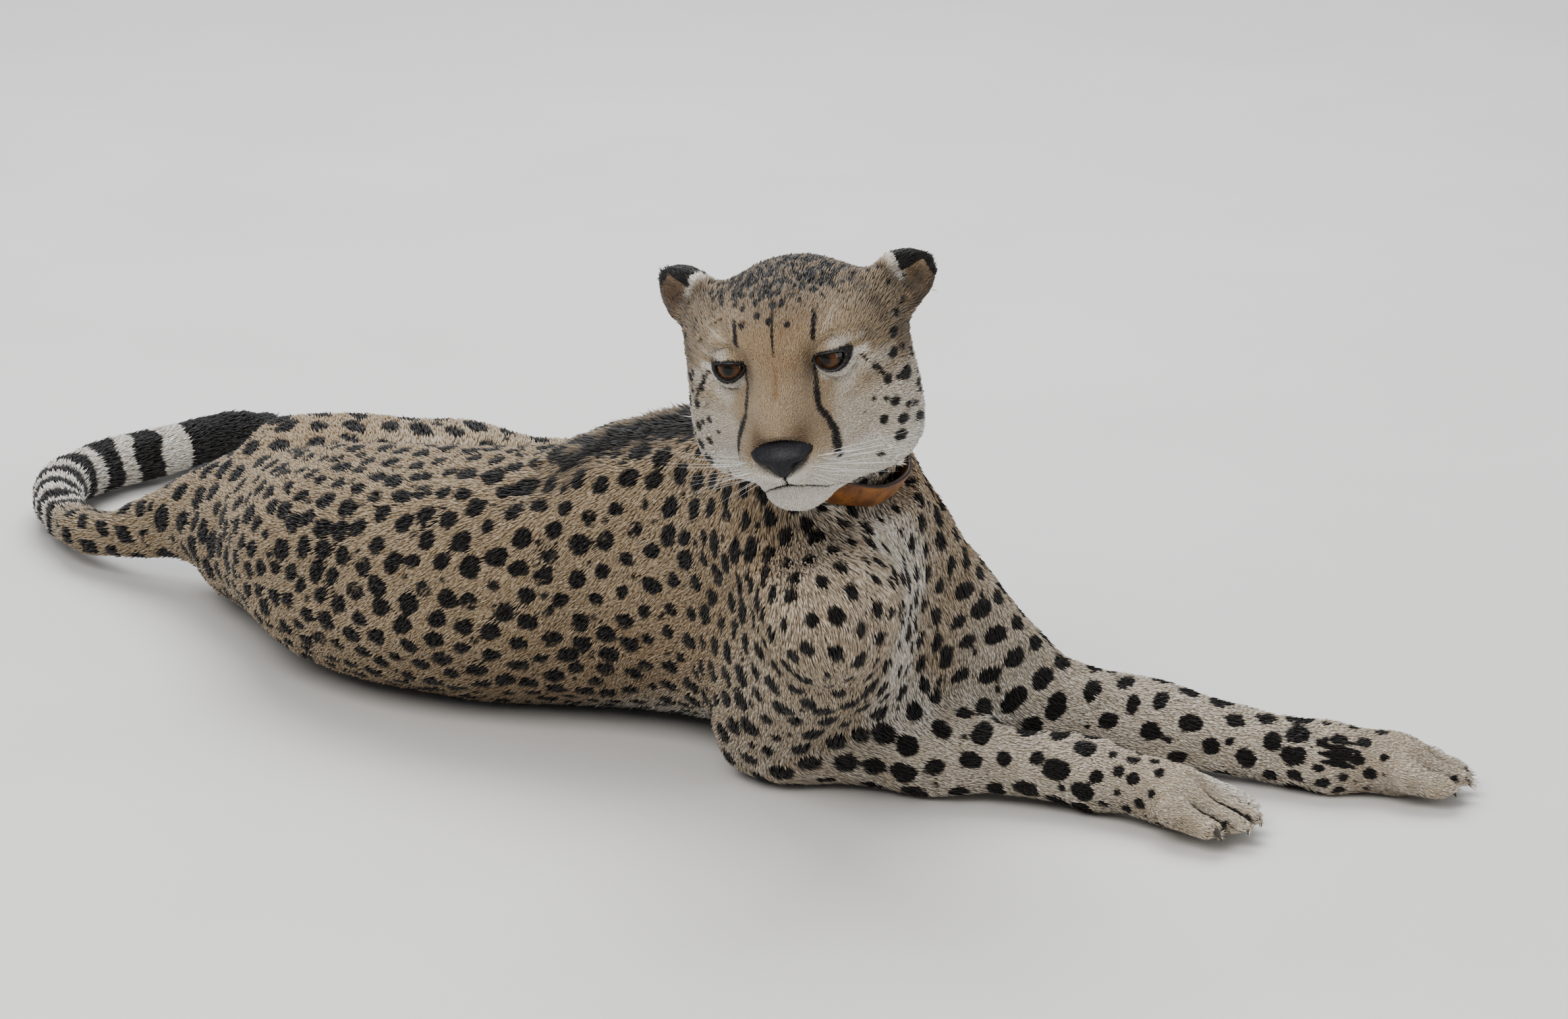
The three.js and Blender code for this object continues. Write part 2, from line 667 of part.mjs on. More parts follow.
const rightArmRegion = limbRegion(
  RIGHT_FORELEG.shoulder.clone().add(ARM_OUTWARDS),
  RIGHT_FORELEG.elbow.clone().add(ARM_OUTWARDS),
  LIMB_REGIONS.rightUpperArm,
);
const hipLength = HIP_SIDE.to.distanceTo(HIP_SIDE.from);
const hipFrame = levelFrame(HIP_SIDE.from, HIP_SIDE.to);
const hindRegion = boxRegion(hipFrame, vec(0, 0, -BIG), vec(hipLength, BIG, BIG));
const leftThighRegion = both(hindRegion, sideRegion(BETWEEN_THIGHS.at, BETWEEN_THIGHS.up));
const behindRump = boxRegion(unturned, WORKSPACE.low, vec(TAIL[0].at.x, BIG, BIG));
const tailRegion = (cut, back) => both(sideRegion(TAIL[cut].at, back), behindRump);

// ---- small hard pieces -------------------------------------------------------------------------------

/** A pointed claw for each toe, rooted inside the toe. */
function claws(leg, width) {
  return toes(leg, width).map(({ end, ahead }) => {
    const pointing = ahead.clone().setZ(-CLAW.dip).normalize();
    const turn = new THREE.Quaternion().setFromUnitVectors(vec(0, 1, 0), pointing);
    const root = end.clone().addScaledVector(pointing, width * CLAW.outward);
    root.z = Math.max(root.z, CLAW.lowest);
    const cone = new THREE.ConeGeometry(CLAW.radius, CLAW.length, CLAW.sides);
    return solidOf(cone, new THREE.Matrix4().compose(root, turn, vec(1, 1, 1)));
  });
}

/** The oval band around the neck: how far its height, inside and outside are grown. */
function band(heightGrowth, inside, outside) {
  const turn = new THREE.Quaternion().setFromUnitVectors(vec(0, 1, 0), COLLAR.facing.clone().normalize());
  const oval = (growth, height) => {
    const size = vec(COLLAR.short + growth, 1, COLLAR.long + growth);
    const cylinder = new THREE.CylinderGeometry(1, 1, height, COLLAR.sides);
    return solidOf(cylinder, new THREE.Matrix4().compose(COLLAR.at, turn, size));
  };
  return oval(outside, COLLAR.wide + heightGrowth).subtract(oval(inside, BIG));
}

const eyeBall = (side, growth) =>
  solidOf(
    new THREE.SphereGeometry(EYE.radius + growth, EYE.around, EYE.rings),
    new THREE.Matrix4().makeTranslation(onHead(EYE.at.x, EYE.at.y * side, EYE.at.z)),
  );

const nosePad = (growth) =>
  solidOf(
    new THREE.SphereGeometry(1, NOSE_PAD.around, NOSE_PAD.rings),
    headFrame
      .clone()
      .multiply(new THREE.Matrix4().makeTranslation(NOSE_PAD.at))
      .scale(NOSE_PAD.size.clone().addScalar(growth)),
  );

// ---- the sub-parts -----------------------------------------------------------------------------------

const group = new THREE.Group();
function addPart(name, solid, colour, roughness) {
  const mesh = solid.getMesh();
  const geometry = new THREE.BufferGeometry();
  geometry.setAttribute("position", new THREE.BufferAttribute(new Float32Array(mesh.vertProperties), 3));
  geometry.setIndex(new THREE.BufferAttribute(new Uint32Array(mesh.triVerts), 1));
  const material = new THREE.MeshStandardMaterial({ color: colour, roughness, metalness: 0 });
  const made = new THREE.Mesh(geometry, material);
  made.name = name;
  group.add(made);
}

/** The sub-parts of flesh in the order they are cut: each keeps what the ones before it have left. */
const FLESH = [
  { name: "ear_left", cell: 8.5, region: earRegion(1, EAR.leftTip) },
  { name: "ear_right", cell: 8.5, region: earRegion(-1, EAR.rightTip) },
  { name: "lower_jaw", cell: 14, region: jawRegion, colour: PALE_FUR },
  { name: "head", cell: 18.5, region: headRegion },
];
const addLimb = (name, cell, from, to, size, tips) =>
  FLESH.push({ name, cell, region: limbRegion(from, to, size), tips });
const legs = [
  ["right", RIGHT_FORELEG, RIGHT_HIND, LIMB_REGIONS.rightForearm, LIMB_REGIONS.rightShank],
  ["left", LEFT_FORELEG, LEFT_HIND, LIMB_REGIONS.leftForearm, LIMB_REGIONS.leftShank],
];
for (const [side, fore, hind, forearm, shank] of legs) {
  const foreClaws = claws(fore, FOREPAW_WIDTH);
  const hindClaws = claws(hind, HIND_PAW_WIDTH);
  addLimb(`forepaw_${side}`, 15.5, fore.wrist, fore.tip, LIMB_REGIONS.forepaw, foreClaws);
  addLimb(`hind_foot_${side}`, 16.5, hind.hock, hind.tip, LIMB_REGIONS.hindFoot, hindClaws);
  addLimb(`forearm_${side}`, 29, fore.elbow, fore.wrist, forearm);
  addLimb(`shank_${side}`, 34, hind.knee, hind.hock, shank);
}
FLESH.push({ name: "upper_arm_right", cell: 40, region: rightArmRegion });
addLimb("upper_arm_left", 36, LEFT_FORELEG.shoulder, LEFT_FORELEG.elbow, LIMB_REGIONS.leftUpperArm);
FLESH.push(
  { name: "neck", cell: 36, region: neckRegion },
  { name: "thigh_left", cell: 38, region: leftThighRegion },
  { name: "thigh_right", cell: 38, region: hindRegion },
  { name: "tail_tip", cell: 20, region: tailRegion(TAIL_CUTS.tip, vec(0, 1, 0)), colour: DARK_FUR },
  { name: "tail_middle", cell: 24, region: tailRegion(TAIL_CUTS.middle, vec(-1, 0, 0)) },
  { name: "tail_base", cell: 30, region: tailRegion(TAIL_CUTS.base, vec(-1, -0.3, 0)) },
  { name: "rump", cell: 50, region: sideRegion(RUMP_END.at, RUMP_END.back) },
  { name: "belly", cell: 56, region: sideRegion(BELLY_END.at, BELLY_END.back) },
  { name: "chest", cell: 54, region: boxRegion(unturned, WORKSPACE.low, WORKSPACE.high) },
);

const aboveFloor = sideRegion(vec(0, 0, 0), vec(0, 0, 1))(0);
const groove = band(2 * GAP, -COLLAR.thick - GAP, COLLAR.groove);
const sockets = [eyeBall(1, GAP), eyeBall(-1, GAP), nosePad(GAP), groove];
const taken = [];
for (const { name, cell, region, tips = [], colour = FUR } of FLESH) {
  const own = region(0);
  const reach = own.boundingBox();
  const low = vec(...reach.min).max(WORKSPACE.low).subScalar(cell);
  const high = vec(...reach.max).min(WORKSPACE.high).addScalar(cell);
  let solid = meshField(animal, low, high, cell).intersect(own).intersect(aboveFloor);
  for (const cut of [...taken, ...sockets]) solid = solid.subtract(cut);
  const [largest] = solid.decompose().sort((a, b) => b.volume() - a.volume());
  addPart(name, wasm.Manifold.union([largest, ...tips]).intersect(aboveFloor), colour, 0.9);
  taken.push(region(GAP));
}
addPart("eye_left", eyeBall(1, 0), IRIS, 0.15);
addPart("eye_right", eyeBall(-1, 0), IRIS, 0.15);
addPart("nose", nosePad(0), WET_BLACK, 0.45);
addPart("collar", band(0, -COLLAR.thick, 0), LEATHER, 0.7);

// The origin is the middle of the underside of the box around the animal.
const around = new THREE.Box3().setFromObject(group);
const middle = around.getCenter(vec(0, 0, 0));
group.position.set(-middle.x, -middle.y, -around.min.z);
group.updateMatrixWorld(true);
export default group;
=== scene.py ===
"""A life-size cheetah lying down: skin, coat, eyes, nose, whiskers, claws and collar around its solids.

Lengths are in metres. The head's own frame has x to the nose, y to the animal's left and z to the
crown, from a point between the eyes. A mark's field is how deep inside the mark each point lies, and
is negative outside it.
"""

import itertools
import math

import bmesh
import bpy
import numpy as np
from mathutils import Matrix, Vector, kdtree
from mathutils.bvhtree import BVHTree


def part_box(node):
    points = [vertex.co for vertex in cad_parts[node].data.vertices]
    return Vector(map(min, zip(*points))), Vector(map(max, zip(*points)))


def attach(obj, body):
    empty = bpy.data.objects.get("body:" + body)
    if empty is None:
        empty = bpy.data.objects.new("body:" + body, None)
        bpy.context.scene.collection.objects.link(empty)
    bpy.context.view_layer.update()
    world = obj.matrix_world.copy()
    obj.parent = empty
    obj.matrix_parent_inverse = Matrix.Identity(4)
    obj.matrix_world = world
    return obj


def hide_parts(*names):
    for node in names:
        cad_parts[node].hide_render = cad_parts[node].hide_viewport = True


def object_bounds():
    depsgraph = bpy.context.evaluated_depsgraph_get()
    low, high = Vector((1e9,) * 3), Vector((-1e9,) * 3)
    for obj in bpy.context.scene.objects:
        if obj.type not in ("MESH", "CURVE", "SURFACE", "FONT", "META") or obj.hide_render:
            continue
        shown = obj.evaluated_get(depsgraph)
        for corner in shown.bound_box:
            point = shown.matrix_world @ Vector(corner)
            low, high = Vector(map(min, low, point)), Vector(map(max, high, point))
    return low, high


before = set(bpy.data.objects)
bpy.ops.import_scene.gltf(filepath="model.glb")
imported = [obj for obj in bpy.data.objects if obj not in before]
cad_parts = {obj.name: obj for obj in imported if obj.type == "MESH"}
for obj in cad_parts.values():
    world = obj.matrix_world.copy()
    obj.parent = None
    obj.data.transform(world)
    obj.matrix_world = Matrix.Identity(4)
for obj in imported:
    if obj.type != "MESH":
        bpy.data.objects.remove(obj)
cad_low, cad_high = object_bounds()
rng = np.random.default_rng(11)

# ---- sizes -------------------------------------------------------------------------------------------

VOXEL = 0.003  # the first skin's cell
OVERLAP = 0.0006  # how far each length of flesh swells, so that neighbours reach into each other
SKIN_TRIANGLES = 150000  # before the face is made finer
SKIN_OFF_FLOOR = 0.0012
MERGE = 0.00002  # points of the solids closer than this are one
SKIN_ROUNDS, SWELL_ROUNDS = 50, 30  # of smoothing the skin, and what that took away
LIE_ROUNDS = 14  # of smoothing the hair's way over the skin
PIECE_TRIANGLES = 198000  # the most in one piece of coat
TUFTS = 365000
PATCH = 0.003  # the size of a tuft's patch on the map
ROOT_DEPTH = 0.0005  # how far under the skin hairs start
ROOT_REACH = 0.007  # how far along the hair the skin's bend is taken
TUFT_MIDDLE = (0.45, 0.68)  # how far along a tuft its sides lie, and how high
EYELID_THICK = 0.0022
WHISKER_RADIUS = 0.00017
CLAW = 0.020  # a claw's length before it is shaped
CLAW_ROOT = (0.0032, 0.0015)  # how far ahead of the toe's end a claw starts, and how far over it
CLAW_REACH, CLAW_DROP = 0.0066, 0.0060
CLAW_OFF_FLOOR = 0.0008
COLLAR_THICK, COLLAR_INSET = 0.0044, 0.0034
COLLAR_COVERS = (0.0125, 0.095)  # half the width and the radius of the neck that it hides
STITCHES = (0.0085, 0.0009, 0.00035)  # from the band's middle, half their width and their depth
FLOOR_GAP = 0.0006  # the coat's lowest hairs lie this far over the floor
BOX_GAP = 0.0004  # and as far inside the solids' box elsewhere

EYE_RADIUS = 0.015
EYE_DEPTH = 0.0085  # how far the eyes' centres lie behind the head frame's origin
EYE_RING = 0.030  # how far round the eye the lids reach
NOSE_AHEAD, NOSE_BELOW = 0.052, 0.045  # the nose pad's centre in the head's frame
GAZE = (0.965, -0.10, 0.225)

# Lines through the body, from the frame's own origin.
SPINE = [
    (-0.293, -0.187, 0.062), (-0.197, -0.198, 0.076), (-0.098, -0.221, 0.091), (0.000, -0.199, 0.100),
    (0.088, -0.149, 0.109), (0.177, -0.116, 0.129), (0.277, -0.103, 0.149), (0.345, -0.125, 0.225),
    (0.365, -0.163, 0.315),
]
BACK = [
    (-0.293, -0.261, 0.075), (-0.197, -0.286, 0.100), (-0.098, -0.321, 0.127), (0.000, -0.302, 0.162),
    (0.088, -0.243, 0.203), (0.177, -0.181, 0.256), (0.277, -0.130, 0.290), (0.300, -0.080, 0.300),
    (0.339, -0.124, 0.362),
]
LEGS = {
    "foreleg_right": [
        (0.302, -0.153, 0.205), (0.400, -0.190, 0.172), (0.295, -0.139, 0.042), (0.389, -0.075, 0.034),
        (0.487, -0.007, 0.030), (0.569, 0.016, 0.026), (0.617, 0.034, 0.017),
    ],
    "foreleg_left": [
        (0.272, -0.070, 0.215), (0.355, -0.083, 0.188), (0.375, 0.029, 0.046), (0.458, 0.091, 0.034),
        (0.567, 0.151, 0.027), (0.617, 0.193, 0.024), (0.647, 0.225, 0.016),
    ],
    "hindleg_right": [
        (-0.223, -0.180, 0.050), (-0.043, 0.000, 0.046), (-0.188, 0.170, 0.034), (-0.103, 0.250, 0.026),
        (-0.069, 0.285, 0.017),
    ],
    "hindleg_left": [
        (-0.251, -0.173, 0.112), (-0.135, 0.030, 0.082), (-0.333, 0.175, 0.042), (-0.253, 0.265, 0.026),
        (-0.221, 0.301, 0.017),
    ],
}
TAIL = [
    (-0.293, -0.185, 0.075), (-0.345, -0.207, 0.068), (-0.403, -0.230, 0.042), (-0.449, -0.241, 0.031),
    (-0.498, -0.239, 0.027), (-0.553, -0.217, 0.026), (-0.601, -0.179, 0.026), (-0.621, -0.127, 0.026),
    (-0.623, -0.075, 0.026), (-0.631, -0.025, 0.025), (-0.639, 0.025, 0.023), (-0.659, 0.075, 0.019),
]
THROAT = [
    (0.430, -0.160, 0.265), (0.425, -0.110, 0.200), (0.433, -0.124, 0.147), (0.425, -0.120, 0.100),
    (0.350, -0.070, 0.030),
]
# How far down each leg the hair still lies as on the trunk beside it, and that way.
LEG_TOPS = {
    "foreleg_right": (0.20, (-0.55, 0.00, -0.83)),
    "foreleg_left": (0.16, (-0.50, 0.12, -0.86)),
    "hindleg_right": (0.20, (-0.80, 0.30, -0.50)),
    "hindleg_left": (0.20, (-0.80, 0.30, -0.50)),
}
LINE_RADIUS = {"spine": 0.105, "tail": 0.026, "fore": 0.040, "hind": 0.050}  # of the flesh round each
PAW_LENGTH = {"fore": 0.125, "hind": 0.135}
PAW_WIDTH = {"fore": 0.076, "hind": 0.068}
TOE_PLACES = (-1.5, -0.5, 0.5, 1.5)
TOE_PITCH = 0.24  # from toe to toe, as a share of the paw's width
TOE_GROOVE = 0.0088  # the grooves' depth

# The tail's rings: how far along it the middle of each lies, and half its width.
TAIL_RINGS = [
    (0.236, 0.0066), (0.262, 0.0072), (0.290, 0.0082), (0.320, 0.0095), (0.354, 0.0110), (0.394, 0.0130),
    (0.438, 0.0140),
]
TAIL_BARS = (0.035, 0.222, 0.0235, 0.0068)  # from, to, pitch and half width of the rows before them
TAIL_END = 0.482
WRIST_BRUSH = (0.600, 0.148, 0.037)  # the middle of the dark brush of hair on the left wrist

# The face's marks, on one side, in the head's frame.
TEAR_LINE = [
    (0.0125, 0.0243, -0.001), (0.0155, 0.0245, -0.0085), (0.019, 0.0248, -0.0155),
    (0.023, 0.0262, -0.025), (0.024, 0.0308, -0.0335), (0.027, 0.0340, -0.041), (0.030, 0.0352, -0.050),
    (0.0305, 0.0350, -0.060),
]
STROKES = {"tear": 0.0016, "outer": 0.0017, "brow": 0.0017, "forehead": 0.0013}  # half their widths
DASH = 0.0042  # half the pitch of the breaks in the strokes
OUTER_STREAK = [
    (-0.007, 0.0553, -0.0028), (-0.0085, 0.0600, -0.0095), (-0.010, 0.0645, -0.0160),
    (-0.0115, 0.0692, -0.0250),
]
BROW_STREAK = [(-0.004, 0.0285, 0.031), (0.005, 0.0272, 0.019)]
FOREHEAD_STREAK = [(-0.006, 0.0, 0.040), (0.016, 0.0, 0.013)]
CHEEK_SPOTS = [
    (-0.009, 0.063, -0.013, 0.0022), (-0.010, 0.070, -0.025, 0.0030), (0.000, 0.060, -0.033, 0.0018),
    (-0.004, 0.067, -0.037, 0.0020), (-0.009, 0.072, -0.042, 0.0028), (-0.018, 0.080, -0.050, 0.0034),
    (-0.030, 0.082, -0.065, 0.0038), (0.000, 0.064, -0.050, 0.0026), (-0.011, 0.074, -0.057, 0.0034),
    (-0.010, 0.070, -0.068, 0.0036), (0.007, 0.053, -0.040, 0.0012), (0.002, 0.056, -0.078, 0.0030),
    (-0.030, 0.078, -0.030, 0.0034), (-0.043, 0.084, -0.045, 0.0036), (-0.028, 0.072, -0.012, 0.0028),
]
EYE_CORNERS = ((0.0243, 0.0022), (0.0496, 0.0040))  # (y, z) of the inner and the outer corner
# Loops round the eye: their height over and under its middle line, and how far inside its corners they end.
EYE_OPENING = {"up": 0.0046, "down": 0.0062, "inset": 0.0020}
EYE_RIM = {"up": 0.0070, "down": 0.0094, "inset": -0.0008}
MOUTH_TOP = -0.0685
MOUTH_FALL = 27.0  # how steeply the lips fall away from the middle
MOUTH_HALF = 0.026
PAD_PITCH = (0.0058, 0.0062)  # of the rows of small swellings on the whisker pads, down and across
NOSE_PAD = (0.0485, -0.0482)  # (x, z) of its middle
NOSE_SIZES = (0.0125, 0.0226, 0.0132)  # half its depth, width and height
FROM_AHEAD = np.array((0.08, 1, 1))  # painted strokes are laid out as seen from ahead
SKULL = ((-0.030, 0, -0.030), (0.115, 0.105, 0.112))  # its middle and its half sizes
EAR_BASE = np.array((-0.062, 0.066, 0.020))
EAR_TIPS = {1: (-0.086, 0.101, 0.029), -1: (-0.086, 0.095, 0.043)}
EAR_FACING = np.array((0.87, 0.33, 0.375))

# The scattered spots, and the coat's measures, by region of the body.
SPOT_SPACING = {"spine": 0.0212, "tail": 0.021, "foreleg": 0.0252, "hindleg": 0.0245, "head": 0.0125}
SPOT_RADIUS = {"spine": 0.0074, "tail": 0.0072, "foreleg": 0.0080, "hindleg": 0.0080, "head": 0.0036}
CROWN_SPACING = 0.0062
SPOT_SAMPLES = 90000
SPOT_ROUNDS = 9  # of spreading them evenly
CELL = 0.010  # a cell of the grid that the thrown spots are kept in
SPOT_GAP = 0.10  # how far spots keep apart, as a share of their size
TOUCHING = 0.12  # the share of spots that may touch their neighbours
BAR_STRETCH = 1.42
SPECKS = (0.28, 0.50)  # the least and the largest size of a speck, as a share of a spot's
CHANGES = {  # how much wider apart and larger the spots are in some places
    "wrist": (-0.50, -0.45), "chest": (-0.12, -0.24), "along_back": (-0.10, 0.08), "haunch": (0.30, 0.34)
}
PACKING = 0.83  # the least gap between spots thrown at random, as a share of their even spacing
OUTSIDE = -0.02  # a field's value well outside its marks
COAT_DEPTH = {"spine": 0.0048, "tail": 0.0050, "foreleg": 0.0040, "hindleg": 0.0040, "head": 0.0}
HAIR_LENGTH = {"spine": 0.0080, "tail": 0.0115, "foreleg": 0.0078, "hindleg": 0.0078, "head": 0.0}


# ---- meshes as arrays --------------------------------------------------------------------------------

def deselect():
    bpy.ops.object.select_all(action="DESELECT")


def only(piece):
    deselect()
    piece.select_set(True)
    bpy.context.view_layer.objects.active = piece


def joined(pieces, name):
    deselect()
    for piece in pieces:
        piece.select_set(True)
    bpy.context.view_layer.objects.active = pieces[0]
    bpy.ops.object.join()
    pieces[0].name = name
    return pieces[0]


def edited(piece, *operations):
    """Runs operations on the whole of a piece."""
    only(piece)
    bpy.ops.object.mode_set(mode="EDIT")
    for operation, settings in operations:
        bpy.ops.mesh.select_all(action="SELECT")
        operation(**settings)
    bpy.ops.object.mode_set(mode="OBJECT")
    return piece


def faced_outwards(piece):
    return edited(piece, (bpy.ops.mesh.normals_make_consistent, {"inside": False}))


def apply_modifier(piece, kind, **settings):
    modifier = piece.modifiers.new(kind.lower(), kind)
    for key, value in settings.items():
        setattr(modifier, key, value)
    only(piece)
    bpy.ops.object.modifier_apply(modifier=modifier.name)


def shade_smooth(mesh):
    mesh.polygons.foreach_set("use_smooth", np.ones(len(mesh.polygons), bool))


def read(items, key, width, kind=np.float32):
    flat = np.empty(len(items) * width, kind)
    items.foreach_get(key, flat)
    return flat.reshape(-1, width)


def points_of(mesh):
    return read(mesh.vertices, "co", 3).astype(float)


def set_points(mesh, points):
    mesh.vertices.foreach_set("co", points.astype(np.float32).ravel())
    mesh.update()


def normals_of(mesh):
    return read(mesh.vertex_normals, "vector", 3).astype(float)


def edges_of(mesh):
    return read(mesh.edges, "vertices", 2, np.int32)


def triangles_of(mesh):
    mesh.calc_loop_triangles()
    return read(mesh.loop_triangles, "vertices", 3, np.int32)


def mesh_piece(name, points, faces, material):
    """A mesh from points and faces that all have the same number of corners."""
    mesh = bpy.data.meshes.new(name)
    mesh.vertices.add(len(points))
    mesh.vertices.foreach_set("co", points.astype(np.float32).ravel())
    mesh.loops.add(faces.size)
    mesh.loops.foreach_set("vertex_index", faces.astype(np.int32).ravel())
    mesh.polygons.add(len(faces))
    mesh.polygons.foreach_set("loop_start", np.arange(0, faces.size, faces.shape[1], dtype=np.int32))
    shade_smooth(mesh)
    mesh.update(calc_edges=True)
    mesh.materials.append(material)
    piece = bpy.data.objects.new(name, mesh)
    bpy.context.scene.collection.objects.link(piece)
    return piece


def band_faces(rows, count):
    """The faces of a closed band, whose rows follow each other round."""
    row, place = np.divmod(np.arange(rows * count), count)
    row_after, place_after = (row + 1) % rows * count, (place + 1) % count
    corners = [row * count + place, row * count + place_after, row_after + place_after, row_after + place]
    return np.stack(corners, -1)


def set_attribute(mesh, name, values, kind="FLOAT"):
    layer = mesh.attributes.get(name) or mesh.attributes.new(name, kind, "POINT")
    layer.data.foreach_set("vector" if kind == "FLOAT_VECTOR" else "value", values.astype(np.float32).ravel())


def smoothed(values, edges, share, rounds):
    """Each point's values drawn towards the mean of its neighbours' by its share, again and again."""
    a, b = edges.T
    n = len(values)
    count = np.maximum(np.bincount(edges.ravel(), minlength=n), 1)[:, None]
    values = values.reshape(n, -1).copy()
    for _ in range(rounds):
        total = np.stack([np.bincount(a, v[b], n) + np.bincount(b, v[a], n) for v in values.T], -1)
        values += share[:, None] * (total / count - values)
    return values


def unit(vectors):
    vectors = np.asarray(vectors, float)
    return vectors / np.maximum(np.linalg.norm(vectors, axis=-1, keepdims=True), 1e-12)


def dot(a, b):
    return (a * b).sum(-1)


def turned(vectors, across, angle):
    return unit(vectors * np.cos(angle)[:, None] + across * np.sin(angle)[:, None])


def ramp(value, low, high):
    """0 below low, 1 above high, smooth between. Low may be above high, for a falling ramp."""
    t = np.clip((value - low) / (high - low), 0, 1)
    return t * t * (3 - 2 * t)


def hill(*measures):
    """1 where each value is at its middle, falling off over its width."""
    return np.exp(-sum(((value - middle) / width) ** 2 for value, middle, width in measures))


def varied(n, middle, spread, low, high):
    """Random numbers about a middle, within limits."""
    return np.clip(rng.normal(middle, spread, n), low, high)


def mixed(one, other, share):
    return one * (1 - share) + other * share


def tree_of(points):
    tree = kdtree.KDTree(len(points))
    for i, p in enumerate(points):
        tree.insert(p, i)
    tree.balance()
    return tree


# ---- places on the body ------------------------------------------------------------------------------

def box_middle(node):
    low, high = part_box(node)
    return np.array((low + high) / 2)


def find_head_frame():
    """The head's axes as rows, and its origin, from the eyes and the nose pad."""
    left, right, nose = (box_middle(n) for n in ("eye_left", "eye_right", "nose"))
    middle = (left + right) / 2
    across = unit(left - right)
    ahead = nose - middle
    ahead = unit(ahead - across * dot(ahead, across))
    over = np.cross(ahead, across)
    dip = math.atan2(NOSE_BELOW, NOSE_AHEAD + EYE_DEPTH)
    x = math.cos(dip) * ahead + math.sin(dip) * over
    z = math.cos(dip) * over - math.sin(dip) * ahead
    return np.array([x, across, z]), middle + EYE_DEPTH * x


HEAD_AXES, HEAD_ORIGIN = find_head_frame()


def in_head(points):
    return (points - HEAD_ORIGIN) @ HEAD_AXES.T


def from_head(points):
    return np.asarray(points, float) @ HEAD_AXES + HEAD_ORIGIN


EYE_SIDE, EYE_UP = in_head(box_middle("eye_left")[None])[0][1:]


def near_line(points, line):
    """Each point's distance to a line of straight stretches, the place along it and its direction."""
    line = np.asarray(line, float)
    best = np.full(len(points), np.inf)
    along = np.zeros(len(points))
    tangent = np.zeros((len(points), 3))
    start = 0.0
    for i in range(len(line) - 1):
        step = line[i + 1] - line[i]
        length = np.linalg.norm(step)
        t = np.clip(dot(points - line[i], step) / length**2, 0, 1)
        away = np.linalg.norm(points - line[i] - t[:, None] * step, axis=1)
        nearer = away < best
        best[nearer] = away[nearer]
        along[nearer] = start + t[nearer] * length
        tangent[nearer] = step / length
        start += length
    return best, along, tangent


def steps_of(line):
    return np.linalg.norm(np.diff(np.asarray(line, float), axis=0), axis=1)


def line_length(line):
    return float(steps_of(line).sum())


def along_line(line, along):
    """The points at these lengths along a line."""
    line = np.asarray(line, float)
    marks = np.concatenate([[0], np.cumsum(steps_of(line))])
    return np.stack([np.interp(along, marks, line[:, axis]) for axis in range(3)], -1)


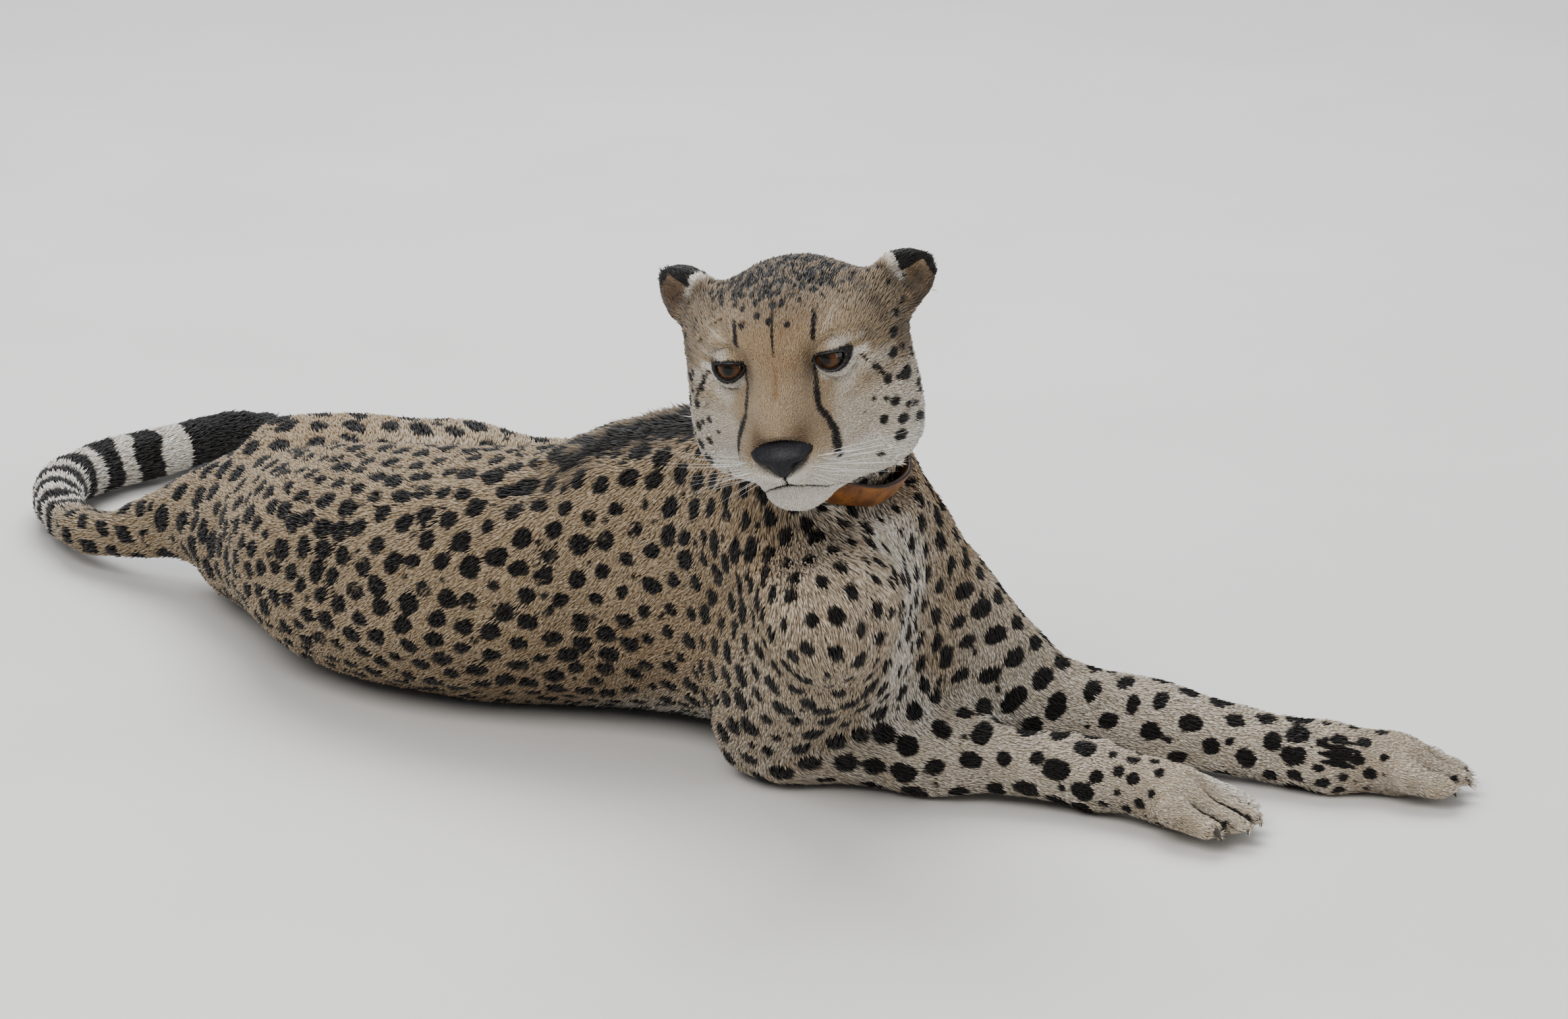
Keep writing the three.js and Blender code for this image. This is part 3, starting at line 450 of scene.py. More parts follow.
class Places:
    """What each point of the body is near: the shares of each region and the measures in it."""

    def __init__(self, points):
        self.points = points
        self.head = in_head(points)
        self.side = np.where(self.head[:, 1] < 0, -1, 1)
        ones = np.ones(len(points))
        self.mirror = np.stack([ones, self.side, ones], -1)
        self.face = self.head * self.mirror
        lines = {**LEGS, "spine": SPINE, "tail": TAIL}
        self.lines = {name: near_line(points, line) for name, line in lines.items()}
        self.back = near_line(points, BACK)
        self.find_ears()
        self.find_shares()

    def find_ears(self):
        """How far up an ear each point is, 0 at its base and 1 at its tip, and how much it faces ahead."""
        along = np.where(self.side[:, None] > 0, EAR_TIPS[1], EAR_TIPS[-1]) - EAR_BASE
        length = np.linalg.norm(along, axis=1, keepdims=True)
        along = along / length
        facing = unit(EAR_FACING - along * dot(EAR_FACING, along)[:, None])
        offset = self.face - EAR_BASE
        self.ear_up = dot(offset, along) / length[:, 0]
        self.ear_ahead = dot(offset, facing)
        self.ear_over = dot(offset, np.cross(facing, along))
        self.ear_along = along * self.mirror
        away = np.linalg.norm(offset - along * dot(offset, along)[:, None], axis=1)
        near = (self.face[:, 1] > 0.03) & (self.face[:, 0] > -0.125)
        self.ear = ramp(self.ear_up, 0.12, 0.34) * ramp(away, 0.044, 0.034) * near

    def find_shares(self):
        """How much each point belongs to the skull, the trunk, each leg, the tail, a paw and its toes."""
        skull = np.linalg.norm((self.head - SKULL[0]) / SKULL[1], axis=1)
        self.in_skull = np.maximum(ramp(skull, 1.10, 0.90), self.ear)
        weights = {}
        for name, (away, along, _) in self.lines.items():
            weights[name] = 1 / (away / LINE_RADIUS[name.split("leg")[0]] + 0.15) ** 4
            if name.startswith("fore"):
                weights[name] *= np.where(along < 0.14, 0.5, 1.0)
        weights["tail"] *= np.where(self.lines["tail"][1] < 0.03, 0.1, 1.0)
        total = sum(weights.values())
        self.shares = {name: w / total * (1 - self.in_skull) for name, w in weights.items()}
        self.paw, self.toes = 0, 0
        for name, line in LEGS.items():
            along, reach, share = self.lines[name][1], line_length(line), self.shares[name]
            start = reach - PAW_LENGTH[name[:4]]
            self.paw = np.maximum(self.paw, ramp(along, start, start + 0.05) * share)
            self.toes = np.maximum(self.toes, ramp(along, reach - 0.066, reach - 0.040) * share)

    def leg(self, kind):
        return sum(share for name, share in self.shares.items() if name.startswith(kind))

    def by_region(self, values):
        result = sum(self.shares[name] * values[name] for name in ("spine", "tail"))
        result += self.leg("fore") * values["foreleg"] + self.leg("hind") * values["hindleg"]
        return result + self.in_skull * values["head"]

    def towards_back(self):
        """1 along the back, -1 along the belly."""
        along = self.lines["spine"][1]
        middle = along_line(SPINE, along)
        over = along_line(BACK, along / line_length(SPINE) * line_length(BACK)) - middle
        return dot(unit(self.points - middle), unit(over))

    def under(self):
        """The belly's share."""
        return self.shares["spine"] * ramp(self.towards_back(), -0.3, -0.8)

    def mane(self):
        """Where the long dark hair of the nape and shoulders grows, from 0 to 1."""
        return ramp(self.back[0], 0.036, 0.010) * ramp(self.points[:, 0], 0.09, 0.17) * (1 - self.in_skull)

    def towards_face(self, low, high):
        return ramp(self.head[:, 0], low, high) * self.in_skull

    def lie(self, normals):
        """The way the hair lies, along the skin, from the nose to the tail and down the legs."""
        flow = np.zeros_like(self.points)
        on_chest = (ramp(self.points[:, 0], 0.29, 0.37) * ramp(self.points[:, 2], 0.05, 0.09))[:, None]
        fall = [0.0, 0.06, -1.0] + ramp(normals[:, 2], -0.05, 0.45)[:, None] * [1.0, 0.25, 0.0]
        for name, (_, along, tangent) in self.lines.items():
            way = -tangent if name == "spine" else tangent
            if name in LEG_TOPS:
                reach, over_top = LEG_TOPS[name]
                way = mixed(unit(over_top), way, ramp(along, reach, reach + 0.05)[:, None])
            if name == "spine" or name.startswith("fore"):
                way = mixed(way, fall, on_chest)
            flow += self.shares[name][:, None] * way
        down = unit(self.points - along_line(BACK, self.back[1]))
        flow += self.shares["spine"][:, None] * (0.34 * down + [0, 0, -0.25])
        from_nose = unit(self.head - [0.066, 0, -0.040])
        on_head = unit(mixed(from_nose, np.array([-1.0, 0, 0]), ramp(self.head[:, 0], 0.01, -0.05)[:, None]))
        on_head[:, 2] -= 0.35 * ramp(self.face[:, 1], 0.03, 0.07) * ramp(self.head[:, 2], 0.0, -0.05)
        on_head = unit(mixed(on_head, self.ear_along * 1.5, self.ear[:, None]))
        flow += self.in_skull[:, None] * (on_head @ HEAD_AXES) * 1.2
        return unit(flow - normals * dot(flow, normals)[:, None])


# ---- the skin ----------------------------------------------------------------------------------------

FLESH = sorted(set(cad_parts) - {"eye_left", "eye_right", "nose", "collar"})


def closed_copy(node):
    """A copy of a length of flesh with its loose faces merged, a little swollen."""
    piece = bpy.data.objects.new("copy_" + node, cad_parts[node].data.copy())
    bpy.context.scene.collection.objects.link(piece)
    edited(piece, (bpy.ops.mesh.remove_doubles, {"threshold": MERGE}))
    apply_modifier(piece, "DISPLACE", strength=OVERLAP, mid_level=0.0, direction="NORMAL")
    return piece


def keep_largest(piece):
    """Deletes what isn't joined to the largest body."""
    graph = bmesh.new()
    graph.from_mesh(piece.data)
    seen = set()
    bodies = []
    for first in graph.verts:
        if first in seen:
            continue
        seen.add(first)
        body = [first]
        for vertex in body:
            for edge in vertex.link_edges:
                other = edge.other_vert(vertex)
                if other not in seen:
                    seen.add(other)
                    body.append(other)
        bodies.append(body)
    for body in sorted(bodies, key=len)[:-1]:
        bmesh.ops.delete(graph, geom=body, context="VERTS")
    graph.to_mesh(piece.data)
    graph.free()


def smoothing_share(places):
    """How strongly each place is smoothed: the trunk strongly, the face, ears and paws little."""
    share = 0.85 - (0.55 * places.leg("fore") + 0.45 * places.leg("hind") + 0.55 * places.shares["tail"])
    share = mixed(share, 0.22, places.in_skull)
    share = mixed(share, 0.14, places.towards_face(-0.03, 0.01))
    share = mixed(mixed(share, 0.035, places.ear), 0.07, places.paw)
    collar = np.linalg.norm(places.points - box_middle("collar"), axis=1)
    share *= 1 - 0.6 * ramp(collar, 0.11, 0.09) * (1 - places.in_skull)
    return np.clip(share, 0.03, 0.9)


def coat_depth(places):
    """How far the skin lies inside the tips of the coat."""
    depth = places.by_region(COAT_DEPTH) + 0.0060 * places.mane() + 0.0035 * places.under()
    depth += places.in_skull * mixed(0.0045, 0.0020, ramp(places.head[:, 0], -0.05, 0.01))
    return mixed(mixed(depth, 0.0014, places.ear), 0.0028, places.paw)


def restore_volume(rough, smooth, mesh, edges, share):
    """Puts back the broad swell that smoothing took away."""
    set_points(mesh, smooth)
    normals = normals_of(mesh)
    lost = dot(rough - smooth, normals)
    lost = smoothed(lost, edges, np.full(len(lost), 0.9), SWELL_ROUNDS)[:, 0]
    return smooth + normals * lost[:, None] * np.clip(share * 3, 0, 1)[:, None]


def make_face_finer(piece):
    """Cuts each triangle of the face's front in four, to be shaped further."""
    mesh = piece.data
    x, y, z = in_head(read(mesh.polygons, "center", 3).astype(float)).T
    chosen = (x > -0.020) & (x < 0.09) & (np.abs(y) < 0.062) & (z > -0.098) & (z < 0.034)
    only(piece)
    bpy.context.tool_settings.mesh_select_mode = (False, False, True)
    for items in (mesh.edges, mesh.vertices):
        items.foreach_set("select", np.zeros(len(items), bool))
    mesh.polygons.foreach_set("select", chosen)
    bpy.ops.object.mode_set(mode="EDIT")
    bpy.ops.mesh.subdivide(number_cuts=1, smoothness=0.0)
    bpy.ops.object.mode_set(mode="OBJECT")


def thin_out(piece, places, target):
    """Fewer triangles on the plain parts of the body."""
    group = piece.vertex_groups.new(name="plain")
    fine = np.max([places.in_skull, places.ear, places.paw], axis=0)
    most = 8
    levels = np.round(np.clip(1 - fine, 0, 1) * most)
    for level in range(1, most + 1):
        group.add(np.nonzero(levels == level)[0].tolist(), level / most, "REPLACE")
    share = min(1.0, target / len(triangles_of(piece.data)))
    apply_modifier(piece, "TRIANGULATE")
    settings = {"decimate_type": "COLLAPSE", "vertex_group": "plain", "vertex_group_factor": 10.0}
    apply_modifier(piece, "DECIMATE", ratio=share, **settings)
    piece.vertex_groups.clear()


def eye_span(sizes):
    """Where an opening of the eye begins and ends across the face."""
    return EYE_CORNERS[0][0] + sizes["inset"], EYE_CORNERS[1][0] - 1.6 * sizes["inset"]


def almond(y, sizes):
    """The middle line of the eye's opening, and its height above and below that, at these y."""
    low, high = eye_span(sizes)
    t = np.clip((y - low) / (high - low), 0, 1)
    up = sizes["up"] * (t**0.36 * (1 - t) ** 0.50) / 0.5523
    down = sizes["down"] * (t**0.85 * (1 - t) ** 0.55) / 0.3785
    (inner_y, inner_z), (outer_y, outer_z) = EYE_CORNERS
    middle = inner_z + (outer_z - inner_z) * np.clip((y - inner_y) / (outer_y - inner_y), -0.2, 1.2)
    return middle, up, down


def beyond_almond(y, z, sizes):
    """How far a place on the face lies outside the eye's opening; negative inside it."""
    low, high = eye_span(sizes)
    middle, up, down = almond(y, sizes)
    outside = np.where(z > middle, (z - middle) - up, (middle - z) - down)
    ends = np.maximum(np.abs(z - middle), np.maximum(low - y, y - high))
    return np.where((y > low) & (y < high), outside, ends)


def eyeball_front(y, z):
    """How far ahead the eyeball's surface lies at this place on the face, or far behind beside it."""
    across = np.hypot(y - EYE_SIDE, z - EYE_UP)
    reach = np.sqrt(np.maximum(EYE_RADIUS**2 - across**2, 0))
    return -EYE_DEPTH + np.where(across < EYE_RADIUS, reach, EYE_RADIUS - across)


def over_mouth(y, z):
    """How far over the line between the lips a place on the face lies."""
    return z - MOUTH_TOP + MOUTH_FALL * y**2


def shape_face(points):
    """Lids round the eyes, lips, the groove under the nose and the whisker pads."""
    x, y, z = in_head(points).T
    side = np.where(y < 0, -1.0, 1.0)
    y = np.abs(y)
    ring = np.hypot(y - EYE_SIDE, z - EYE_UP)
    near = (ring < EYE_RING) & (x > -0.022) & (x < 0.040)
    beyond = beyond_almond(y, z, EYE_OPENING)
    ball_x = eyeball_front(y, z)
    lid = ball_x + 0.0014 + 0.0012 * ramp(beyond, 0.004, 0.0)
    back = np.clip(x - lid, 0, 0.0062) * ramp(ring, 0.025, 0.013) * near
    out = np.clip(lid - x, 0, 0.02) * ramp(ring, 0.021, 0.0155) * near
    x = np.where(beyond < -0.0002, np.where(near, ball_x - 0.0035, x), x - back + out)
    # the brow over each eye, the whisker pads and the hollow beside the nose
    brow = hill((y, 0.038, 0.016), (z, 0.019, 0.006)) * (x > -0.03)
    pads = hill((y, 0.020, 0.010), (z, -0.058, 0.009)) * (x > 0.01)
    flat = np.stack([x * 0, y, z], -1)
    tear = hill((near_line(flat, np.array(TEAR_LINE) * [0, 1, 1])[0], 0, 0.0035))
    x = x + 0.0016 * brow + 0.0016 * pads - 0.0013 * tear * (x > 0.0) * ramp(beyond, 0.0, 0.004)
    # the lips
    away = over_mouth(y, z)
    front = (x > 0.005) & (y < MOUTH_HALF + 0.012)
    end = ramp(y, MOUTH_HALF + 0.010, MOUTH_HALF - 0.004)
    groove = hill((away, 0, 0.0016)) * end
    upper_lip = hill((away, 0.0060, 0.0050)) * end * ramp(y, 0.0, 0.006)
    lower_lip = hill((away, -0.0055, 0.0045)) * ramp(y, 0.020, 0.006)
    x = x + (-0.0036 * groove + 0.0016 * upper_lip + 0.0008 * lower_lip) * front
    # the groove from the nose to the mouth
    middle = hill((y, 0, 0.0013)) * ramp(z, MOUTH_TOP - 0.001, MOUTH_TOP + 0.001) * ramp(z, -0.054, -0.058)
    x = x - 0.0024 * middle * (x > 0.02)
    # rows of small swellings under the whiskers
    down, across = PAD_PITCH
    rows = np.sin((z + 0.05) / down * math.pi) * np.sin((y - 0.010 + 0.4 * (x - 0.03)) / across * math.pi)
    pad = ramp(y, 0.011, 0.016) * ramp(y, 0.034, 0.029) * ramp(z, -0.071, -0.066) * ramp(z, -0.040, -0.046)
    x = x + 0.0006 * rows**2 * pad * (x > 0.015)
    return from_head(np.stack([x, side * y, z], -1))


def toe_lines(name):
    """The ends of a paw's four toes, with the ways ahead of and across them."""
    knuckle, tip = np.array(LEGS[name][-2:])
    width = PAW_WIDTH[name[:4]]
    ahead = unit((tip - knuckle) * [1, 1, 0])
    side = np.array([-ahead[1], ahead[0], 0])
    shifts = [side * place * width * TOE_PITCH for place in TOE_PLACES]
    short = [0.16 * width if abs(place) > 1 else 0.0 for place in TOE_PLACES]
    starts = [knuckle + shift for shift in shifts]
    ends = [tip + shift * 1.15 - ahead * less for shift, less in zip(shifts, short)]
    return starts, ends, ahead, side


def between_toes(points):
    """1 in the grooves between the toes, falling to 0 beside them."""
    groove = np.zeros(len(points))
    for name in LEGS:
        starts, ends, ahead, side = toe_lines(name)
        offset = points - (starts[1] + starts[2]) / 2
        forward = dot(offset, ahead)
        across = dot(offset, side)
        near = (np.abs(across) < 0.045) & (forward > -0.006) & (forward < 0.075) & (points[:, 2] < 0.06)
        spread = 1 + 0.15 * np.clip(forward / np.linalg.norm(ends[1] - starts[1]), 0, 1.2)
        for edge in (-1, 0, 1):
            off = across - edge * PAW_WIDTH[name[:4]] * TOE_PITCH * spread
            groove = np.maximum(groove, hill((off, 0, 0.0048)) * ramp(forward, -0.002, 0.036) * near)
    return groove


def make_skin():
    bodies = [closed_copy(node) for node in FLESH + ["eye_left", "eye_right"]]
    skin = joined(bodies, "skin")
    skin.data.name = "skin"
    apply_modifier(skin, "REMESH", mode="VOXEL", voxel_size=VOXEL, adaptivity=0.0)
    keep_largest(skin)
    mesh = skin.data
    if "sharp_face" in mesh.attributes:
        mesh.attributes.remove(mesh.attributes["sharp_face"])
    rough, edges = points_of(mesh), edges_of(mesh)
    places = Places(rough)
    share = smoothing_share(places)
    smooth = smoothed(rough, edges, share, SKIN_ROUNDS)
    set_points(mesh, restore_volume(rough, smooth, mesh, edges, share))
    thin_out(skin, places, SKIN_TRIANGLES)
    make_face_finer(skin)
    apply_modifier(skin, "TRIANGULATE")
    mesh = skin.data
    points, normals = points_of(mesh), normals_of(mesh)
    places = Places(points)
    points = points - normals * coat_depth(places)[:, None]
    points = points - normals * (TOE_GROOVE * between_toes(points) * places.paw)[:, None]
    points = shape_face(points)
    points[:, 2] = np.maximum(points[:, 2], SKIN_OFF_FLOOR)
    set_points(mesh, points)
    shade_smooth(mesh)
    mesh.update()
    return skin


# ---- the markings ------------------------------------------------------------------------------------

def crown(places):
    """The top of the head, where small dark spots crowd together."""
    x, _, z = places.face.T
    over = ramp(z, 0.022, 0.036) * ramp(x, 0.012, -0.004)
    behind = ramp(x, -0.045, -0.075) * ramp(z, -0.02, 0.01)
    return np.maximum(over, behind) * places.in_skull * (1 - places.ear)


def no_spots(places):
    """The plain middle of the face, the ears, the lips and the toes."""
    x, y, z = places.face.T
    front = ramp(x, -0.022, -0.008) * ramp(z, 0.034, 0.024)
    lower = ramp(x, -0.030, -0.012) * ramp(z, 0.02, 0.0)
    chin = ramp(z, -0.070, -0.080) * ramp(x, -0.06, -0.03)
    brow = ramp(y, 0.022, 0.030) * ramp(z, 0.008, 0.014) * ramp(z, 0.037, 0.030) * ramp(x, -0.056, -0.046)
    plain = np.max([front, lower, chin, brow], axis=0) * places.in_skull
    on_tail = places.shares["tail"] * ramp(places.lines["tail"][1], 0.02, 0.03)
    return np.max([plain, places.ear, places.toes, on_tail], axis=0)


def scatter(points, spacing, allowed):
    """Indices of points that keep their spacing, picked in random order."""
    taken = {}
    picked = []
    for i in rng.permutation(len(points)):
        if not allowed[i]:
            continue
        p, gap = points[i], spacing[i]
        key = tuple(np.floor(p / CELL).astype(int).tolist())
        reach = math.ceil(gap / CELL)
        cells = itertools.product(*(range(k - reach, k + reach + 1) for k in key))
        near = (q for cell in cells for q in taken.get(cell, ()))
        if all((p[0] - q[0]) ** 2 + (p[1] - q[1]) ** 2 + (p[2] - q[2]) ** 2 >= gap * gap for q in near):
            taken.setdefault(key, []).append(p)
            picked.append(i)
    return np.array(picked)


def spread_evenly(points, picked, rounds):
    """Moves each spot to the middle of the skin that is nearest to it."""
    centres = points[picked]
    for _ in range(rounds):
        tree = tree_of(centres)
        owner = np.array([tree.find(p)[1] for p in points])
        count = np.maximum(np.bincount(owner, minlength=len(centres)), 1)[:, None]
        centres = np.stack([np.bincount(owner, points[:, k], len(centres)) for k in range(3)], -1) / count
    whole = tree_of(points)
    return np.unique(np.array([whole.find(p)[1] for p in centres]))


class Spots:
    """The scattered spots: their middles, long ways and sizes."""

    def __init__(self, points, normals, lie, places):
        dense = crown(places)
        on_top = 0.0017 + 0.0020 * ramp(places.head[:, 2], 0.022, 0.048)
        spacing = mixed(places.by_region(SPOT_SPACING), CROWN_SPACING, dense)
        radius = mixed(places.by_region(SPOT_RADIUS), on_top, dense)
        trunk = places.shares["spine"]
        where = {
            "wrist": places.leg("fore") * ramp(places.paw, 0.02, 0.3),
            "chest": trunk * ramp(points[:, 0], 0.36, 0.42),
            "along_back": trunk * ramp(places.back[0], 0.036, 0.010),
            "haunch": ramp(points[:, 0], -0.14, -0.24) * (1 - places.shares["tail"]),
        }
        for name, (wider, larger) in CHANGES.items():
            spacing = spacing * (1 + wider * where[name])
            radius = radius * (1 + larger * where[name])
        allowed = no_spots(places) < 0.5
        picked = spread_evenly(points, scatter(points, spacing * PACKING, allowed), SPOT_ROUNDS)
        picked = picked[allowed[picked]]
        n = len(picked)
        across = np.cross(normals[picked], lie[picked])
        self.middles = points[picked]
        self.long_way = turned(lie[picked], across, rng.normal(0, 0.30, n))
        self.sizes = radius[picked] * varied(n, 1.0, 0.14, 0.55, 1.2)
        self.stretch = varied(n, 1.12, 0.08, 0.95, 1.35)
        self.bar_the_far_arm(across)
        self.apart = np.where(rng.random(n) < TOUCHING, -0.01, SPOT_GAP * self.sizes)
        self.tree = tree_of(self.middles)
        self.add_specks(points, spacing, radius, allowed)

    def bar_the_far_arm(self, across):
        """The left arm's spots over and under its elbow are drawn out into short bars across it."""
        low, high = (0.37, -0.06, 0.055), (np.inf, 0.09, 0.16)
        far = ((self.middles > low) & (self.middles < high)).all(1)
        self.long_way[far] = unit(across[far])
        self.stretch[far] = BAR_STRETCH

    def add_specks(self, points, spacing, radius, allowed):
        """A few small spots in the widest gaps."""
        gap = -self.field(points)
        room = allowed & (gap > 0.26 * spacing) & (rng.random(len(points)) < 0.5)
        specks = scatter(points, spacing * 1.5, room)
        n = len(specks)
        ways = unit(rng.normal(0, 1, (n, 3)))
        small = radius[specks] * rng.uniform(*SPECKS, n)
        more = {"middles": points[specks], "long_way": ways, "sizes": small, "stretch": np.ones(n)}
        for key, values in {**more, "apart": SPOT_GAP * small}.items():
            setattr(self, key, np.concatenate([getattr(self, key), values]))
        self.tree = tree_of(self.middles)

    def field(self, points):
        field = np.full(len(points), OUTSIDE)
        second = np.full(len(points), 2 * OUTSIDE)
        apart = np.full(len(points), 0.02)
        near = np.array([[item[1] for item in self.tree.find_n(p, 3)] for p in points])
        for j in near.T:
            offset = points - self.middles[j]
            along = dot(offset, self.long_way[j])
            rest = np.linalg.norm(offset - self.long_way[j] * along[:, None], axis=1)
            reach = np.sqrt((along / self.stretch[j]) ** 2 + (rest * np.sqrt(self.stretch[j])) ** 2)
            deep = self.sizes[j] - reach
            second = np.maximum(second, np.minimum(field, deep))
            field = np.maximum(field, deep)
            apart = np.where(deep > -0.002, np.minimum(apart, self.apart[j]), apart)
        field = np.minimum(field, (field - second) / 2 - apart * (apart < 0.01))
        waves = np.sin(points @ np.transpose([[430, 210, -260], [-190, 460, 240], [260, -230, 420]]))
        return field + 0.00034 * waves.sum(1)


def stroke(points, line, half, soft_end=0.0):
    """The field of a painted stroke of this half width, seen from ahead."""
    line = line * FROM_AHEAD
    away, along, _ = near_line(points * FROM_AHEAD, line)
    half = half * np.clip(1.25 - along / line_length(line) * soft_end, 0.2, 1.0)
    return np.where(points[:, 0] > -0.03, half - away, OUTSIDE)


def face_field(places):
    x, y, z = places.face.T
    left = places.side > 0
    rim = np.where(x > -0.02, -beyond_almond(y, z, EYE_RIM), OUTSIDE)
    tear = stroke(places.face, TEAR_LINE, STROKES["tear"] + 0.0003 * ramp(z, -0.030, -0.045))
    tear = tear - 0.0012 * (np.sin(z / DASH * math.pi) > 0.2) * ramp(z, -0.052, -0.056)
    dashes = ramp(np.sin(y / DASH * math.pi), 0.1, 0.6) * ramp(y, 0.053, 0.057) * left
    outer = stroke(places.face, OUTER_STREAK, STROKES["outer"]) - 0.0012 * dashes
    brow = stroke(places.face, BROW_STREAK, STROKES["brow"])
    middle = stroke(places.face, FOREHEAD_STREAK, STROKES["forehead"], 0.9)
    groove = 0.0012 - np.hypot(y, np.maximum(np.maximum(MOUTH_TOP - z, z + 0.056), 0))
    groove = np.where(x > 0.02, groove, OUTSIDE)
    lips = 0.0019 - np.abs(over_mouth(y, z)) - 0.0012 * ramp(y, 0.012, MOUTH_HALF + 0.004)
    lips = np.where((x > 0.005) & (y < MOUTH_HALF + 0.006), lips, OUTSIDE)
    lower = np.where(left, 0.0, 0.003)  # the right cheek's spots lie lower
    cheek = np.full(len(x), OUTSIDE)
    for x_at, y_at, z_at, radius in CHEEK_SPOTS:
        away = np.sqrt((x - x_at) ** 2 * 0.3 + (y - y_at) ** 2 + ((z - z_at + lower) * 0.85) ** 2)
        cheek = np.maximum(cheek, radius * 1.3 - away)
    behind = np.where(x > -0.060, 0.0, OUTSIDE) + np.where(places.in_skull > 0.4, 0.0, OUTSIDE)
    return np.max([rim, tear, outer, brow, middle, groove, lips, cheek], axis=0) + behind


def tail_field(places):
    """The tail's rows of bars, its rings and its dark end."""
    _, along, tangent = places.lines["tail"]
    offset = places.points - along_line(TAIL, along)
    across = unit(np.cross(tangent, [0, 0, 1.0]))
    angle = np.arctan2(offset[:, 2], dot(offset, across))
    at = along + 0.0035 * np.sin(2 * angle + 0.8) + 0.0018 * np.sin(3 * angle + along * 60)
    field = at - TAIL_END
    for middle, half in TAIL_RINGS:
        field = np.maximum(field, half - np.abs(at - middle))
    first, last, pitch, half = TAIL_BARS
    row = np.round((at - first) / pitch)
    rows = half - np.abs(at - first - row * pitch)
    gaps = 0.009 * (np.cos(6 * angle + row * 1.7) + 0.40)
    bars = np.where((at > first - 0.012) & (at < last), np.minimum(rows, gaps), OUTSIDE)
    field = np.clip(np.maximum(field, bars), -0.018, 0.01)
    return np.where((places.shares["tail"] > 0.5) & (along > 0.02), field, OUTSIDE)


def ear_field(places):
    """The dark patch along an ear's upper edge, its tip and its back."""
    up, ahead = places.ear_up, places.ear_ahead
    front = ramp(ahead, -0.005, -0.001)
    back = ramp(ahead, 0.001, -0.004) * ramp(up, 0.30, 0.40) * ramp(up, 0.78, 0.66)
    patch = ramp(places.ear_over, 0.001, 0.007) * ramp(up, 0.36, 0.48) * front
    tip = ramp(up, 0.74, 0.90) * front
    return np.where(places.ear > 0.25, (np.max([back, patch, tip], axis=0) - 0.5) * 0.010, OUTSIDE)


def black_field(points, spots, places):
    """How deep inside a black mark each point is, whatever the mark; the black in the grooves between the
    toes is painted shade.
    """
    tail, mane = tail_field(places), places.mane()
    spotted = np.where(tail > -0.019, OUTSIDE, spots.field(points))
    streaks = np.sin(points @ [310.0, 190.0, 240.0]) * np.sin(points @ [-170.0, 260.0, 120.0])
    nape = (mane - 0.76) * 0.02 + 0.0034 * streaks * (mane > 0.3)
    wrist = 0.0115 - np.linalg.norm((points - WRIST_BRUSH) * [0.8, 1.0, 1.1], axis=1)
    wrist += 0.0042 * np.sin(points @ [-420.0, 610.0, 880.0])
    # Painted shade: the grooves between the toes are painted black, where shade falls between them.
    toes = (between_toes(points) * places.paw - np.where(points[:, 0] > 0, 0.46, 0.62)) * 0.010
    return np.max([spotted, tail, face_field(places), ear_field(places), nape, wrist, toes], axis=0)


def pale_field(places):
    """How white the coat is, from 0 to 1."""
    x, y, z = places.face.T
    ahead = places.points[:, 0]
    spine, tail = places.shares["spine"], places.shares["tail"]
    belly = 0.92 * spine * ramp(places.towards_back(), -0.10, -0.98) * ramp(ahead, 0.33, 0.25)
    chest = spine * ramp(ahead, 0.35, 0.42)
    throat = ramp(near_line(places.points, THROAT)[0], 0.052, 0.016)
    legs = 0.52 * places.leg("fore") + 0.25 * places.leg("hind") - 0.10 * places.paw
    for name in ("foreleg_right", "foreleg_left"):
        _, along, tangent = places.lines[name]
        inwards = dot(places.points - along_line(LEGS[name], along), np.cross([0, 0, 1.0], tangent))
        legs += 0.42 * places.shares[name] * ramp(inwards, 0.002, 0.026) * ramp(along, 0.30, 0.36)
    trunk = np.clip(np.max([belly, 0.44 * chest, 0.72 * throat, legs], axis=0), 0, 1)
    body = trunk * (1 - tail) + tail * ramp(places.lines["tail"][1], 0.19, 0.27)
    muzzle = ramp(z, -0.038, -0.064) * ramp(x, -0.020, 0.010) * 0.92
    bridge = ramp(y, 0.026, 0.018) * ramp(z, -0.050, -0.044)
    chin = ramp(z, -0.062, -0.072)
    off_eye = beyond_almond(y, z, EYE_RIM)
    front = (x > -0.03) * ramp(y, 0.024, 0.028)
    outer = front * ramp(y, 0.030, 0.040)
    under_eye = 0.92 * ramp(off_eye, 0.0125, 0.0035) * ramp(z, 0.006, 0.001) * front
    below_eye = 0.56 * ramp(off_eye, 0.032, 0.010) * ramp(z, 0.0, -0.008) * outer
    over_eye = 0.58 * ramp(off_eye, 0.0120, 0.0010) * ramp(z, 0.006, 0.010) * outer
    cheek = 0.52 * ramp(z, -0.006, -0.034) + 0.34 * ramp(z, -0.042, -0.085)
    cheek = cheek * ramp(y, 0.026, 0.040) * ramp(x, -0.10, -0.06)
    face = np.max([muzzle * (1 - bridge), chin, under_eye, below_eye, over_eye, cheek], axis=0)
    ear = 0.85 * places.ear * ramp(places.ear_over, -0.006, 0.002) * ramp(places.ear_up, 0.52, 0.36)
    return np.clip(mixed(body, np.maximum(face * (1 - places.ear), ear), places.in_skull), 0, 1)


